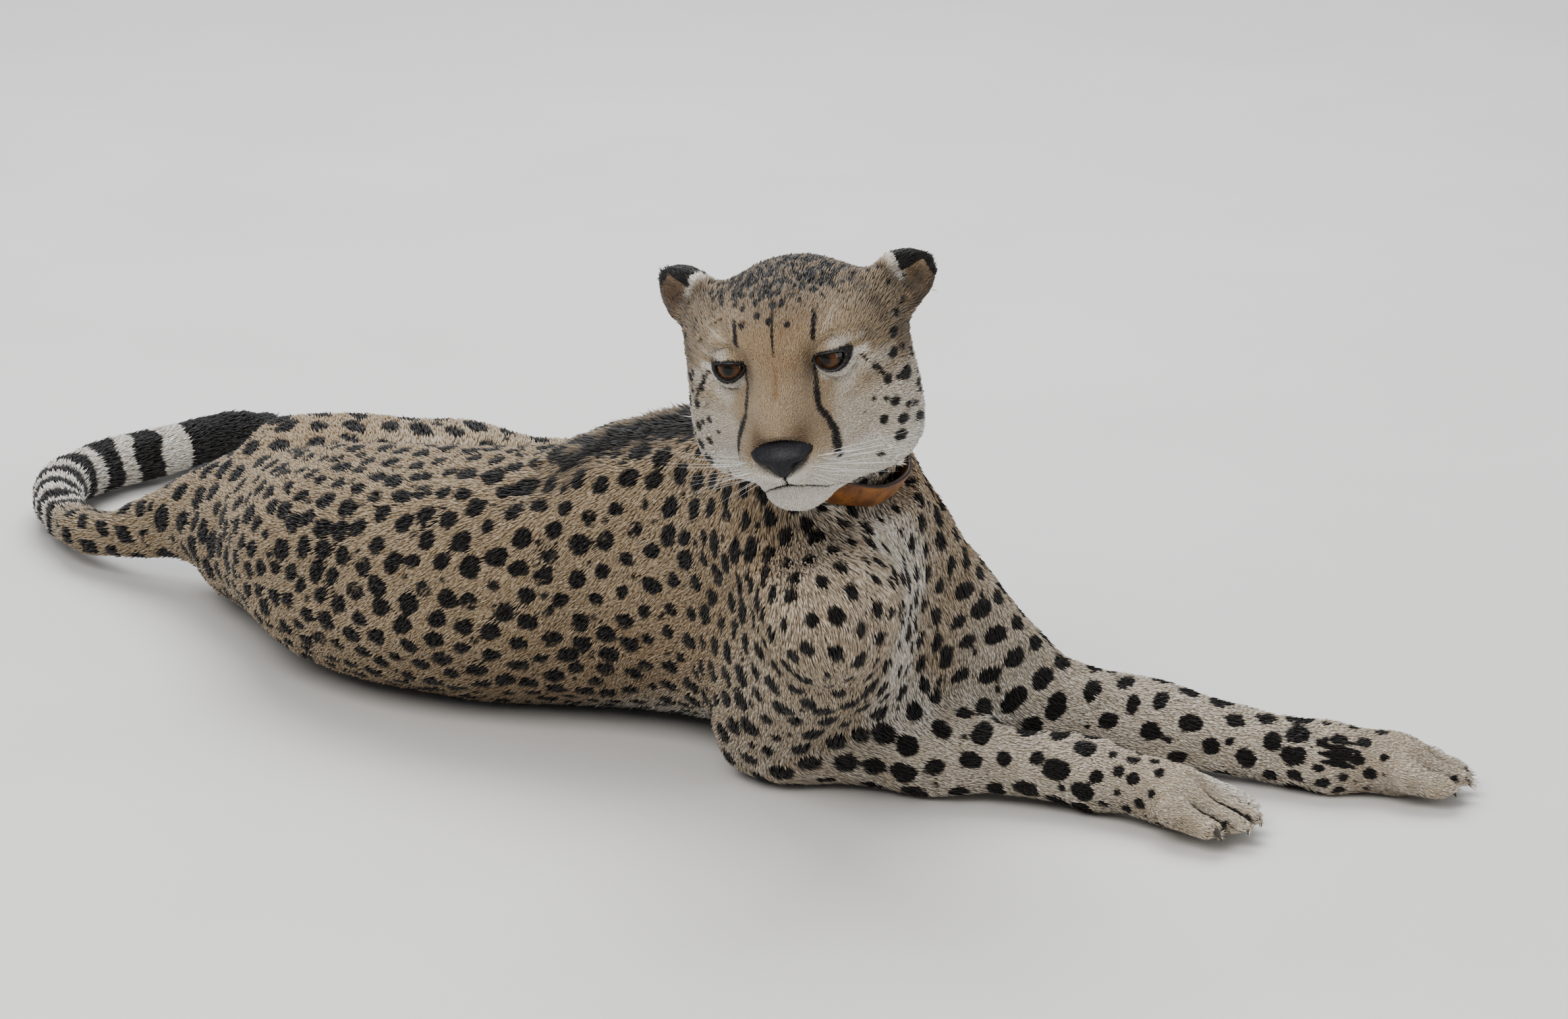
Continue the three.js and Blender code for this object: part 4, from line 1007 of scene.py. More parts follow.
def warm_field(places):
    """How rusty brown the coat is: on the forehead, between the eyes, beside the nose, on the ears and on the
    trunk below the back.
    """
    x, y, z = places.face.T
    forehead = 0.42 * ramp(x, -0.03, 0.0) * ramp(y, 0.034, 0.020) * ramp(z, -0.02, 0.01)
    nose = 0.5 * hill((y, 0.015, 0.007), (z, -0.034, 0.010)) * (x > 0.015)
    line = 0.7 * hill((y, 0, 0.003)) * ramp(z, 0.012, 0.004) * ramp(z, -0.016, -0.008) * (x > 0.01)
    head = places.in_skull * np.max([forehead, nose, line, 0.55 * places.ear], axis=0)
    return np.clip(head + 0.35 * places.shares["spine"] * ramp(places.towards_back(), 0.9, 0.2), 0, 1)


def dark_brown_and_shade_field(places):
    """How much dark brown is mixed into the coat: on the ears away from their upper edge, the crown, the
    head's sides, beside the nose, at the eyes' inner corners, in dapples on the face, on the mane, and evenly
    over the whole head. The even part is painted shade, for the shade that the head's finer tufts cast less
    than the body's.
    """
    x, y, z = places.face.T
    ears = 0.62 * places.ear * ramp(places.ear_over, 0.010, -0.004)
    top = 0.44 * ramp(z, 0.015, 0.045) * (1 - places.ear)
    sides = 0.40 * ramp(x, 0.005, -0.04) * ramp(z, -0.045, -0.005)
    nose = 0.45 * hill((y, 0.014, 0.008), (z, -0.036, 0.012)) * (x > 0.015)
    corner = 0.5 * hill((y, 0.021, 0.004), (z, 0, 0.012)) * (x > -0.01)
    ripple = np.sin(places.head @ [240.0, 150.0, 330.0]) + np.sin(places.head @ [-130.0, 290.0, 170.0])
    dapple = 0.16 * ramp(ripple, 0.2, 1.6) * ramp(y, 0.018, 0.035) * ramp(x, 0.04, 0.0)
    # The even 0.12 over the whole head is painted shade.
    face = 0.12 + dapple + np.max([ears, top, sides, nose, corner], axis=0)
    return np.clip(places.in_skull * face + 0.75 * places.mane(), 0, 1)


TINTS = {"pale": pale_field, "warm": warm_field, "shade": dark_brown_and_shade_field}


# ---- materials ---------------------------------------------------------------------------------------

def operator(operation, reflected=False):
    """An operator between a Value and a number or another Value, as one node."""

    def apply(value, other):
        one, two = (other, value) if reflected else (value, other)
        return value.finish.node("ShaderNodeMath", {"operation": operation}, {0: one, 1: two})

    return apply


class Value:
    """A node's output that can be used in sums."""

    def __init__(self, finish, socket):
        self.finish = finish
        self.socket = socket

    __add__ = __radd__ = operator("ADD")
    __mul__ = __rmul__ = operator("MULTIPLY")
    __sub__, __rsub__ = operator("SUBTRACT"), operator("SUBTRACT", reflected=True)
    __truediv__, __rtruediv__ = operator("DIVIDE"), operator("DIVIDE", reflected=True)

    def step(self, low, high):
        """0 where this is under low, 1 over high, smooth between."""
        settings = {"interpolation_type": "SMOOTHSTEP", "clamp": True}
        ends = {"From Min": low, "From Max": high, "To Min": 0.0, "To Max": 1.0}
        return self.finish.node("ShaderNodeMapRange", settings, {"Value": self, **ends})


class Finish:
    """A material made of nodes, ending in one Principled shader."""

    def __init__(self, name, **plain):
        self.material = bpy.data.materials.new(name)
        self.material.use_nodes = True
        self.tree = self.material.node_tree
        self.shader = self.tree.nodes["Principled BSDF"]
        for socket, value in plain.items():
            self.shader.inputs[socket.replace("_", " ")].default_value = value

    def node(self, kind, settings, inputs, output=0):
        made = self.tree.nodes.new(kind)
        for key, value in settings.items():
            setattr(made, key, value)
        for key, value in inputs.items():
            if isinstance(value, Value):
                self.tree.links.new(value.socket, made.inputs[key])
            else:
                made.inputs[key].default_value = value
        return Value(self, made.outputs[output])

    def attribute(self, name, output="Fac"):
        return self.node("ShaderNodeAttribute", {"attribute_name": name}, {}, output)

    def place(self):
        return self.node("ShaderNodeTexCoord", {}, {}, "Object")

    def noise(self, vector, scale, detail=3.0, rough=0.55):
        inputs = {"Vector": vector, "Scale": scale, "Detail": detail, "Roughness": rough}
        return self.node("ShaderNodeTexNoise", {}, inputs)

    def pebbles(self, vector, scale):
        inputs = {"Vector": vector, "Scale": scale}
        return self.node("ShaderNodeTexVoronoi", {"feature": "F1"}, inputs, "Distance")

    def vector(self, operation, one, other):
        second = "Scale" if operation == "SCALE" else 1
        output = "Value" if operation == "DOT_PRODUCT" else 0
        return self.node("ShaderNodeVectorMath", {"operation": operation}, {0: one, second: other}, output)

    def mix(self, share, one, other):
        one, other = ((*c, 1.0) if isinstance(c, tuple) else c for c in (one, other))
        return self.node("ShaderNodeMix", {"data_type": "RGBA"}, {0: share, 6: one, 7: other}, 2)

    def bump(self, height, strength, distance):
        return self.node("ShaderNodeBump", {}, {"Height": height, "Strength": strength, "Distance": distance})

    def use(self, **links):
        for socket, value in links.items():
            self.tree.links.new(value.socket, self.shader.inputs[socket.replace("_", " ")])
        return self.material


TAWNY = (0.370, 0.276, 0.172)
SANDY = (0.490, 0.400, 0.290)
UMBER = (0.085, 0.060, 0.043)
RUSTY = (0.300, 0.165, 0.075)
CREAM = (0.660, 0.600, 0.510)
WHITE = (0.780, 0.755, 0.710)
SOOT = (0.016, 0.0135, 0.0125)


def coat_colour(finish, fine, broad):
    """The coat's colour between its black marks, and how deep inside a black mark it is."""
    ground = finish.mix(fine.step(0.30, 0.72), TAWNY, SANDY)
    black, pale, warm, shade = (finish.attribute(name) for name in ("black", "pale", "warm", "shade"))
    ground = finish.mix((warm * 0.8 + (broad - 0.5) * 0.5).step(0.05, 0.95), ground, RUSTY)
    # Dark brown from the shade attribute: the coat's dark hair, and over the head partly painted shade.
    ground = finish.mix((shade + (fine - 0.5) * 0.55).step(0.0, 1.0), ground, UMBER)
    light = finish.mix(fine.step(0.35, 0.65), CREAM, WHITE)
    ground = finish.mix((pale + (broad - 0.5) * 0.25).step(0.02, 0.95), ground, light)
    return ground, black + (fine - 0.5) * 0.0016 + (broad - 0.5) * 0.0018


def skin_finish():
    finish = Finish(
        "short_fur_skin", Roughness=0.75, Sheen_Weight=0.10, Sheen_Roughness=0.5, Specular_IOR_Level=0.22
    )
    place = finish.place()
    lie = finish.attribute("lie", "Vector")
    along = finish.vector("DOT_PRODUCT", place, lie)
    squeezed = finish.vector("SUBTRACT", place, finish.vector("SCALE", lie, along * 0.86))
    strands = finish.noise(squeezed, 1250.0, 2.0, 0.6)
    locks = finish.noise(squeezed, 420.0, 2.0, 0.5)
    ground, inside = coat_colour(finish, strands, finish.noise(place, 55.0, 2.0, 0.5))
    # Painted shade: the skin under the tufts is darkened where the strands' noise is low, for the shade among
    # the hairs.
    deep = finish.mix(0.25, ground, (0.05, 0.035, 0.025))
    shaded = finish.mix((strands * 0.6 + locks * 0.4).step(0.30, 0.62), deep, ground)
    colour = finish.mix(inside.step(-0.0006, 0.0009), shaded, SOOT)
    return finish.use(Base_Color=colour, Normal=finish.bump(strands * 0.55 + locks * 0.45, 0.55, 0.0012))


def fur_finish():
    finish = Finish(
        "coat_tufts", Roughness=0.62, Sheen_Weight=0.12, Sheen_Roughness=0.45, Specular_IOR_Level=0.28
    )
    place = finish.place()
    fine = finish.noise(place, 900.0, 1.0, 0.5)
    tone = finish.attribute("tone")
    tip = finish.attribute("tip")
    ground, inside = coat_colour(finish, fine * 0.4 + tone * 0.6, finish.noise(place, 55.0, 2.0, 0.5))
    # Painted shade: each tuft darkens towards its root, standing in for the shade deep inside the coat.
    shaded_at_roots = finish.mix(tip.step(-0.1, 0.6) * 0.28 + 0.72, (0.12, 0.085, 0.055), ground)
    black = finish.mix(tip.step(0.55, 1.0) * tone.step(0.3, 0.9), SOOT, (0.050, 0.040, 0.033))
    return finish.use(Base_Color=finish.mix(inside.step(-0.0004, 0.0007), shaded_at_roots, black))


def mottled_finish(name, scale, dark, light, bumpy=0.0, rough=0.6, **plain):
    """Two shades in fine patches."""
    finish = Finish(name, **plain)
    fine = finish.noise(finish.place(), scale, 3.0, rough)
    links = {"Base_Color": finish.mix(fine.step(0.3, 0.7), dark, light)}
    if bumpy:
        links["Normal"] = finish.bump(fine, bumpy, 0.0004)
    return finish.use(**links)


# ---- the coat ----------------------------------------------------------------------------------------

def unwrap(skin):
    """An unwrap of the skin's own shape; gives each triangle's corners' places on it."""
    settings = {"angle_limit": math.radians(72), "island_margin": 0.002, "area_weight": 0.4}
    edited(skin, (bpy.ops.uv.smart_project, settings))
    return read(skin.data.uv_layers.active.uv, "vector", 2).reshape(-1, 3, 2).astype(float)


def hair_length(places):
    x, y, z = places.face.T
    length = places.by_region(HAIR_LENGTH) + 0.0060 * places.under() + 0.013 * places.mane()
    on_head = mixed(0.0085, 0.0038, ramp(x, -0.04, 0.02))
    ruff = ramp(y, 0.050, 0.075) * ramp(z, -0.03, -0.07)
    off_eye = beyond_almond(y, z, EYE_RIM)
    by_eye = 1 - 0.55 * ramp(off_eye, 0.007, 0.001) * (x > -0.03) * ramp(y, 0.015, 0.02)
    by_nose = 1 - 0.35 * ramp(x, 0.035, 0.055)
    length += places.in_skull * (on_head * by_eye * by_nose + 0.007 * ruff)
    return mixed(mixed(length, 0.0070, places.ear), 0.0068, places.paw)


def hair_width(places):
    width = mixed(mixed(0.00098, 0.00075, places.in_skull), 0.00044, places.towards_face(-0.04, 0.01))
    return width * (1 - 0.3 * places.paw) * (1 + 0.25 * places.mane())


def hair_density(places):
    """How closely the tufts stand, against those on the trunk."""
    density = 1.0 + 1.8 * places.in_skull + 5.4 * places.towards_face(-0.04, 0.01) + 0.9 * places.paw
    return density + 0.25 * places.leg("fore") + 1.0 * places.mane()


class Skin:
    """The finished skin as arrays, with what the coat needs to know at each point."""

    def __init__(self, piece):
        mesh = piece.data
        self.points, self.normals = points_of(mesh), normals_of(mesh)
        self.triangles = triangles_of(mesh)
        self.places = Places(self.points)
        half = np.full(len(self.points), 0.5)
        lie = unit(smoothed(self.places.lie(self.normals), edges_of(mesh), half, LIE_ROUNDS))
        self.lie = unit(lie - self.normals * dot(lie, self.normals)[:, None])
        self.spots = self.throw_spots()
        self.bend = self.find_bend()
        set_attribute(mesh, "black", black_field(self.points, self.spots, self.places))
        for name, tint in TINTS.items():
            set_attribute(mesh, name, tint(self.places))
        set_attribute(mesh, "lie", self.lie, "FLOAT_VECTOR")

    def throw_spots(self):
        """Spots laid over even samples of the skin."""
        owner, parts = pick_roots(self, SPOT_SAMPLES, np.ones(len(self.points)))
        at = self.triangles[owner]
        points, normals, lie = (blended(v, at, parts) for v in (self.points, self.normals, self.lie))
        return Spots(points, unit(normals), unit(lie), Places(points))

    def find_bend(self):
        """How fast the skin curves away along the hair."""
        tree = tree_of(self.points)
        ahead = np.array([tree.find(p)[1] for p in self.points + self.lie * ROOT_REACH])
        run = np.maximum(np.linalg.norm(self.points[ahead] - self.points, axis=1), 0.003)
        return np.clip(dot(self.normals[ahead] - self.normals, self.lie) / run, -20, 70)


def pick_roots(skin, count, density):
    """Random roots on the skin, closer together where the density is higher."""
    a, b, c = skin.points[skin.triangles].transpose(1, 0, 2)
    area = np.linalg.norm(np.cross(b - a, c - a), axis=1) / 2
    marks = np.cumsum(area * density[skin.triangles].mean(1))
    draws = (np.arange(count) + rng.random(count)) / count * marks[-1]
    u, v = rng.random((2, count))
    flip = u + v > 1
    u[flip], v[flip] = 1 - u[flip], 1 - v[flip]
    return np.searchsorted(marks, draws), np.stack([1 - u - v, u, v], -1)


def blended(values, at, parts):
    """Values inside triangles, from the values at their corners."""
    return (values[at] * (parts if values.ndim == 1 else parts[:, :, None])).sum(1)


def inside_collar(points):
    """Where the collar covers the neck."""
    middle, axes = collar_frame()
    x, y, z = ((points - middle) @ axes.T).T
    half, radius = COLLAR_COVERS
    return (np.abs(z) < half) & (np.hypot(x, y) < radius)


def bare(roots):
    """Roots in the eyes' openings and under the nose pad grow nothing."""
    x, y, z = in_head(roots).T
    y = np.abs(y)
    near_eye = (x > -0.018) & (y < 0.055) & (z > -0.012) & (z < 0.018)
    upright = (z - NOSE_PAD[1]) / NOSE_SIZES[2]
    pad = nose_half(upright) * np.sqrt(np.clip(1.05 - upright**2, 0, 1))
    return (beyond_almond(y, z, EYE_OPENING) < 0.0012) & near_eye | (y < pad - 0.0016) & (x > 0.025)


# A tuft's root, two sides and tip: its faces, the places of its corners on its patch, and how near the
# tip they are.
TUFT_FACES = np.array([[0, 2, 1], [3, 1, 2], [0, 1, 3], [0, 3, 2]])
TUFT_MAP = np.array([[0.0, 0.0], [-0.5, 0.5], [0.5, 0.5], [0.0, 1.0]]) * PATCH
TUFT_TIPS = np.array([0.0, TUFT_MIDDLE[0], TUFT_MIDDLE[0], 1.0])


def grow_coat(skin, patches, finish):
    """Tufts as closed folded leaves, in pieces by region."""
    count = TUFTS
    owner, parts = pick_roots(skin, count, hair_density(skin.places))
    keep = ~bare(blended(skin.points, skin.triangles[owner], parts))
    owner, parts = owner[keep], parts[keep]
    at = skin.triangles[owner]
    n = len(owner)

    def here(values):
        return blended(values, at, parts)

    roots, bend = here(skin.points), here(skin.bend)
    normals, lie = unit(here(skin.normals)), unit(here(skin.lie))
    length = here(hair_length(skin.places)) * varied(n, 1.0, 0.20, 0.5, 1.6)
    width = here(hair_width(skin.places)) * varied(n, 1.0, 0.22, 0.5, 1.6)
    wild = here(skin.places.mane())
    rise = varied(n, 0.46, 0.14, 0.12, 0.95) * (1 + 0.35 * wild)
    height = np.minimum(here(coat_depth(skin.places)) * rise, length * 0.75)
    pressed = inside_collar(roots)
    height[pressed] *= 0.2
    length[pressed] *= 0.7
    swing = rng.normal(0, 0.12, n) + 0.16 * np.sin(roots @ [41, 57, 33]) * np.sin(roots @ [-37, 29, 61])
    lie = turned(lie, np.cross(normals, lie), swing * (1 + 0.5 * wild))
    across = np.cross(normals, lie) * (width / 2)[:, None]
    reach = np.sqrt(np.maximum(length**2 - height**2, 1e-8))

    def over(share, rise):
        """Points this share of the way along the tufts, this share of their height over the skin."""
        drop = np.clip(bend * (reach * share) ** 2 / 2, -0.3 * length, 0.6 * length)
        return roots + lie * (reach * share)[:, None] + normals * (height * rise - drop)[:, None]

    middle = over(*TUFT_MIDDLE)
    points = np.stack([roots - normals * ROOT_DEPTH, middle - across, middle + across, over(1.0, 1.0)], 1)
    low, high = np.array(cad_low) + BOX_GAP, np.array(cad_high) - BOX_GAP
    low[2] = max(low[2], FLOOR_GAP)
    lower_at, upper_at = over(0.3, 0.0), over(0.8, 0.0)
    places = Places(lower_at)
    shift = rng.normal(0, 0.0003, n)
    lower = black_field(lower_at, skin.spots, places) + shift
    upper = black_field(upper_at, skin.spots, Places(upper_at)) + shift
    between = (lower + upper) / 2
    values = {"black": np.stack([lower, between, between, upper], -1)}
    values |= {name: tint(places) for name, tint in TINTS.items()}
    values["tone"] = rng.random(n)
    return split_coat(skin, at, np.clip(points, low, high), blended(patches, owner, parts), values, finish)


def coat_region(places):
    """The parts of the coat, and which of them each point of the skin belongs to."""
    spine = places.shares["spine"]
    ahead = places.points[:, 0]
    scores = {
        "head": places.in_skull * (1 - places.ear),
        "ears": places.ear * 1.2,
        "mane": places.mane() * 1.5,
        "foreleg_right": places.shares["foreleg_right"],
        "foreleg_left": places.shares["foreleg_left"],
        "hindlegs": places.leg("hind"),
        "tail": places.shares["tail"],
        "neck": spine * (ahead > 0.30),
        "shoulders": spine * (ahead <= 0.30) * (ahead > 0.15),
        "flank": spine * (ahead <= 0.15) * (ahead > -0.06),
        "rump": spine * (ahead <= -0.06),
    }
    return list(scores), np.stack(list(scores.values()), -1).argmax(1)


def split_coat(skin, at, points, on_map, values, finish):
    names, region = coat_region(skin.places)
    region = region[at[:, 0]]
    most = PIECE_TRIANGLES // len(TUFT_FACES)
    coats = []
    for k, name in enumerate(names):
        chosen = np.nonzero(region == k)[0]
        for part in range(math.ceil(len(chosen) / most)):
            some = chosen[part * most : (part + 1) * most]
            faces = (TUFT_FACES + np.arange(len(some))[:, None, None] * 4).reshape(-1, 3)
            suffix = f"_{part + 1}" if len(chosen) > most else ""
            piece = mesh_piece(f"coat_{name}{suffix}", points[some].reshape(-1, 3), faces, finish)
            for key, value in values.items():
                set_attribute(piece.data, key, value[some] if value.ndim > 1 else np.repeat(value[some], 4))
            set_attribute(piece.data, "tip", np.tile(TUFT_TIPS, len(some)))
            layer = piece.data.uv_layers.new(name="OFBake")
            corners = np.clip(on_map[some][:, None, None] + TUFT_MAP[TUFT_FACES], 0, 1)
            layer.uv.foreach_set("vector", corners.astype(np.float32).ravel())
            coats.append(piece)
    return coats


# ---- eyes, nose, whiskers, claws and collar ----------------------------------------------------------

def ball(name, segments, rings):
    deselect()
    bpy.ops.mesh.primitive_uv_sphere_add(segments=segments, ring_count=rings, radius=1.0)
    piece = bpy.context.object
    piece.name = name
    piece.data.name = name
    shade_smooth(piece.data)
    return piece


def make_eye(side):
    """An eyeball with a swollen cornea; marks give the distance from the pupil's middle."""
    piece = ball("eyeball_left" if side > 0 else "eyeball_right", 64, 48)
    points = points_of(piece.data)
    gaze = unit(GAZE)
    sideways = unit(np.cross([0, 0, 1.0], gaze))
    axes = np.array([sideways, np.cross(gaze, sideways), gaze])
    angle = np.arccos(np.clip(points[:, 2], -1, 1))
    radius = EYE_RADIUS + 0.0007 * ramp(angle, 0.72, 0.30)
    centre = np.array([-EYE_DEPTH, side * EYE_SIDE, EYE_UP])
    set_points(piece.data, from_head(points @ axes * radius[:, None] + centre))
    set_attribute(piece.data, "off_pupil", angle * EYE_RADIUS)
    set_attribute(piece.data, "around", np.arctan2(points[:, 1], points[:, 0]))
    piece.data.materials.append(eye_finish())
    return piece


def eye_finish():
    finish = Finish(
        "wet_amber_eye", Roughness=0.40, Coat_Weight=0.70, Coat_Roughness=0.02, Specular_IOR_Level=0.05
    )
    off = finish.attribute("off_pupil")
    around = finish.attribute("around")
    streaks = finish.node("ShaderNodeCombineXYZ", {}, {0: around * 2.4, 1: off * 90.0, 2: 0.0})
    fibres = finish.noise(streaks, 6.0, 3.0, 0.6)
    amber = finish.mix(fibres.step(0.30, 0.72), (0.045, 0.019, 0.008), (0.112, 0.050, 0.018))
    amber = finish.mix((off + (fibres - 0.5) * 0.001).step(0.0030, 0.0062), (0.022, 0.010, 0.005), amber)
    amber = finish.mix(off.step(0.0084, 0.0098), amber, (0.008, 0.005, 0.004))
    return finish.use(Base_Color=finish.mix(off.step(0.0029, 0.0034), (0.002, 0.002, 0.002), amber))


def eye_loop(sizes):
    """The corners of a loop round the eye's opening, from corner to corner above and back below."""
    low, high = eye_span(sizes)
    y = low + (high - low) * (1 - np.cos(np.linspace(0, math.pi, 37))) / 2
    middle, up, down = almond(y, sizes)
    above = np.stack([y, middle + up], -1)
    below = np.stack([y, middle - down], -1)
    return np.concatenate([above, below[-2:0:-1]])


def lid_ring(side, ground):
    """The bare black rim of the lids, a soft band from the eyeball out onto the skin."""
    inner, outer = eye_loop(EYE_OPENING), eye_loop(EYE_RIM)
    rows = []
    for share in np.linspace(0, 1, 6):
        y, z = flat = mixed(inner, outer, share).T
        ball_x = eyeball_front(y, z)
        skin_x = np.array([ground(side * a, b) for a, b in flat.T])
        lift = 0.0002 + 0.0011 * math.sin(math.pi * min(1.0, share * 1.25)) ** 0.8
        x = np.maximum(ball_x, mixed(ball_x, skin_x, min(1.0, share * 3))) + lift
        x = x - 0.0012 * (share == 1) - 0.0016 * (share == 0)
        rows.append(np.stack([x, side * y, z], -1))
    rows += [row - [EYELID_THICK, 0, 0] for row in rows[::-1]]
    faces = band_faces(len(rows), len(inner))
    name = "eyelid_rim_left" if side > 0 else "eyelid_rim_right"
    finish = mottled_finish(
        "black_lid_rim", 1500.0, (0.010, 0.009, 0.010), (0.026, 0.022, 0.022), 0.4, Roughness=0.38
    )
    points = from_head(np.concatenate(rows))
    return faced_outwards(mesh_piece(name, points, faces[:, ::-1] if side > 0 else faces, finish))


def nose_half(upright):
    """Half the nose pad's width, from 1 at its top to -1 at its bottom."""
    return NOSE_SIZES[1] * (1 - 0.76 * ramp(upright, 0.12, -1.05))


def make_nose():
    """The nose pad: broad above, narrow below, with comma-shaped nostrils."""
    piece = ball("nose_pad", 96, 64)
    a, b, c = points_of(piece.data).T
    out = np.abs(b)
    y = nose_half(c) * np.sign(b) * out**0.85
    z = NOSE_PAD[1] + NOSE_SIZES[2] * c + 0.0020 * out * (c > 0) * ramp(out, 0.2, 0.8)
    z = z + 0.0040 * out**2 * ramp(c, 0.6, -0.2)
    x = NOSE_PAD[0] + NOSE_SIZES[0] * a - 0.0045 * out**1.6 - 0.0018 * ramp(c, 0.2, 1.0)
    side = np.abs(y)
    hole = hill((side, 0.0098, 0.0030), (z, -0.0505, 0.0027))
    slit = hill((z + 0.0489 - 0.10 * (side - 0.012), 0, 0.0013))
    slit = slit * ramp(side, 0.0105, 0.013) * ramp(side, 0.0205, 0.0175)
    seam = hill((side, 0, 0.0008)) * ramp(z, -0.050, -0.053)
    wing = hill((side, 0.0150, 0.0040), (z, -0.0442, 0.0035))
    x = x + (0.0012 * wing - 0.0060 * hole - 0.0026 * slit - 0.0010 * seam) * ramp(a, 0.0, 0.3)
    set_points(piece.data, from_head(np.stack([x, y, z], -1)))
    finish = Finish(
        "damp_black_nose", Roughness=0.50, Coat_Weight=0.05, Coat_Roughness=0.30, Specular_IOR_Level=0.34
    )
    place = finish.place()
    fine = finish.noise(place, 900.0, 3.0, 0.6)
    colour = finish.mix(fine.step(0.3, 0.75), (0.007, 0.007, 0.009), (0.021, 0.020, 0.025))
    normal = finish.bump(finish.pebbles(place, 820.0) * -0.8 + fine * 0.3, 0.5, 0.0006)
    piece.data.materials.append(finish.use(Base_Color=colour, Normal=normal))
    return piece


def hair_tubes(starts, ways, lengths, radius, droops, segments=7):
    """Long tapering three-sided hairs, each bent along its droop."""
    side = unit(np.cross(ways, droops + [0.0, 0.0, 1e-3]))
    over = np.cross(side, ways)
    rows = []
    for t in np.linspace(0, 1, segments)[:-1]:
        middle = starts + ways * (lengths * t)[:, None] + droops * (lengths * t * t)[:, None]
        for corner in range(3):
            angle = corner * 2 * math.pi / 3
            rows.append(middle + (side * math.cos(angle) + over * math.sin(angle)) * radius * (1 - 0.85 * t))
    rows.append(starts + (ways + droops) * lengths[:, None])
    points = np.stack(rows, 1)
    faces = [[0, 2, 1]]
    for first in range(0, len(rows) - 4, 3):
        for corner in range(3):
            a, b = first + corner, first + (corner + 1) % 3
            faces += [[a, b, b + 3], [a, b + 3, a + 3]]
    last = len(rows) - 4
    faces += [[last + c, last + (c + 1) % 3, len(rows) - 1] for c in range(3)]
    faces = np.array(faces) + np.arange(len(starts))[:, None, None] * len(rows)
    return points.reshape(-1, 3), faces.reshape(-1, 3)


def make_whiskers(ground):
    """White whiskers in rows on the pads, with a few over the eyes."""
    starts, ways, lengths, droops = [], [], [], []
    for side in (1, -1):
        for row, k in itertools.product(range(4), range(5)):
            y = 0.0155 + 0.0042 * k + 0.0008 * row
            z = -0.0480 - 0.0052 * row - 0.0006 * k
            out = (0.10 - 0.12 * k, side * (0.90 + 0.1 * k), -0.12 - 0.10 * row + 0.05 * k)
            starts.append((ground(side * y, z) - ROOT_DEPTH, side * y, z))
            ways.append(np.array(out) + rng.normal(0, 0.08, 3))
            lengths.append((0.030 + 0.012 * k) * rng.uniform(0.75, 1.25))
            droops.append((-0.30, side * -0.05, -0.12))
        for k in range(4):
            y, z = 0.0320 + 0.0022 * k, 0.0175 + 0.0006 * k
            starts.append((ground(side * y, z) - ROOT_DEPTH, side * y, z))
            ways.append((0.5, side * 0.30, 0.75 + 0.1 * k))
            lengths.append(rng.uniform(0.022, 0.034))
            droops.append((-0.25, side * 0.10, -0.05))
    ways, droops = unit(ways) @ HEAD_AXES, np.array(droops) @ HEAD_AXES
    points, faces = hair_tubes(from_head(starts), ways, np.array(lengths), WHISKER_RADIUS, droops)
    finish = mottled_finish(
        "white_whisker", 300.0, (0.80, 0.79, 0.77), (0.95, 0.94, 0.92), rough=0.55, Roughness=0.35
    )
    return mesh_piece("whiskers", points, faces, finish)


def make_claws(name, finish):
    """Four blunt, slightly hooked claws at the ends of a paw's toes."""
    _, ends, ahead, side = toe_lines(name)
    forward = ahead * 0.82 + [0, 0, -0.18]
    over = np.cross(unit(forward), side)
    claws = []
    for end in ends:
        deselect()
        bpy.ops.mesh.primitive_cone_add(vertices=14, radius1=0.0034, radius2=0.0008, depth=CLAW)
        claw = bpy.context.object
        cuts = ({"plane_co": (0, 0, at), "plane_no": (0, 0, 1)} for at in (-0.003, 0.002, 0.006))
        edited(claw, *((bpy.ops.mesh.bisect, cut) for cut in cuts))
        x, y, z = points_of(claw.data).T[:, :, None]
        t = z / CLAW + 0.5
        root = end + ahead * CLAW_ROOT[0] + [0, 0, CLAW_ROOT[1]]
        path = root + forward * CLAW_REACH * t - np.array([0, 0, CLAW_DROP]) * t * t
        placed = path + side * x * 0.8 * (1.0 - 0.35 * t) + over * y * 1.25
        placed[:, 2] = np.maximum(placed[:, 2], CLAW_OFF_FLOOR)
        set_points(claw.data, placed)
        claws.append(claw)
    piece = joined(claws, "claws_" + name)
    apply_modifier(piece, "SUBSURF", levels=1, render_levels=1)
    faced_outwards(piece)
    shade_smooth(piece.data)
    piece.data.materials.append(finish)
    return piece


def collar_frame():
    """The collar's middle and its axes: the long way, the short way and across the band."""
    points = points_of(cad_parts["collar"].data)
    middle = points.mean(0)
    _, _, axes = np.linalg.svd(points - middle, full_matrices=False)
    if dot(np.cross(axes[0], axes[1]), axes[2]) < 0:
        axes[2] *= -1
    return middle, axes


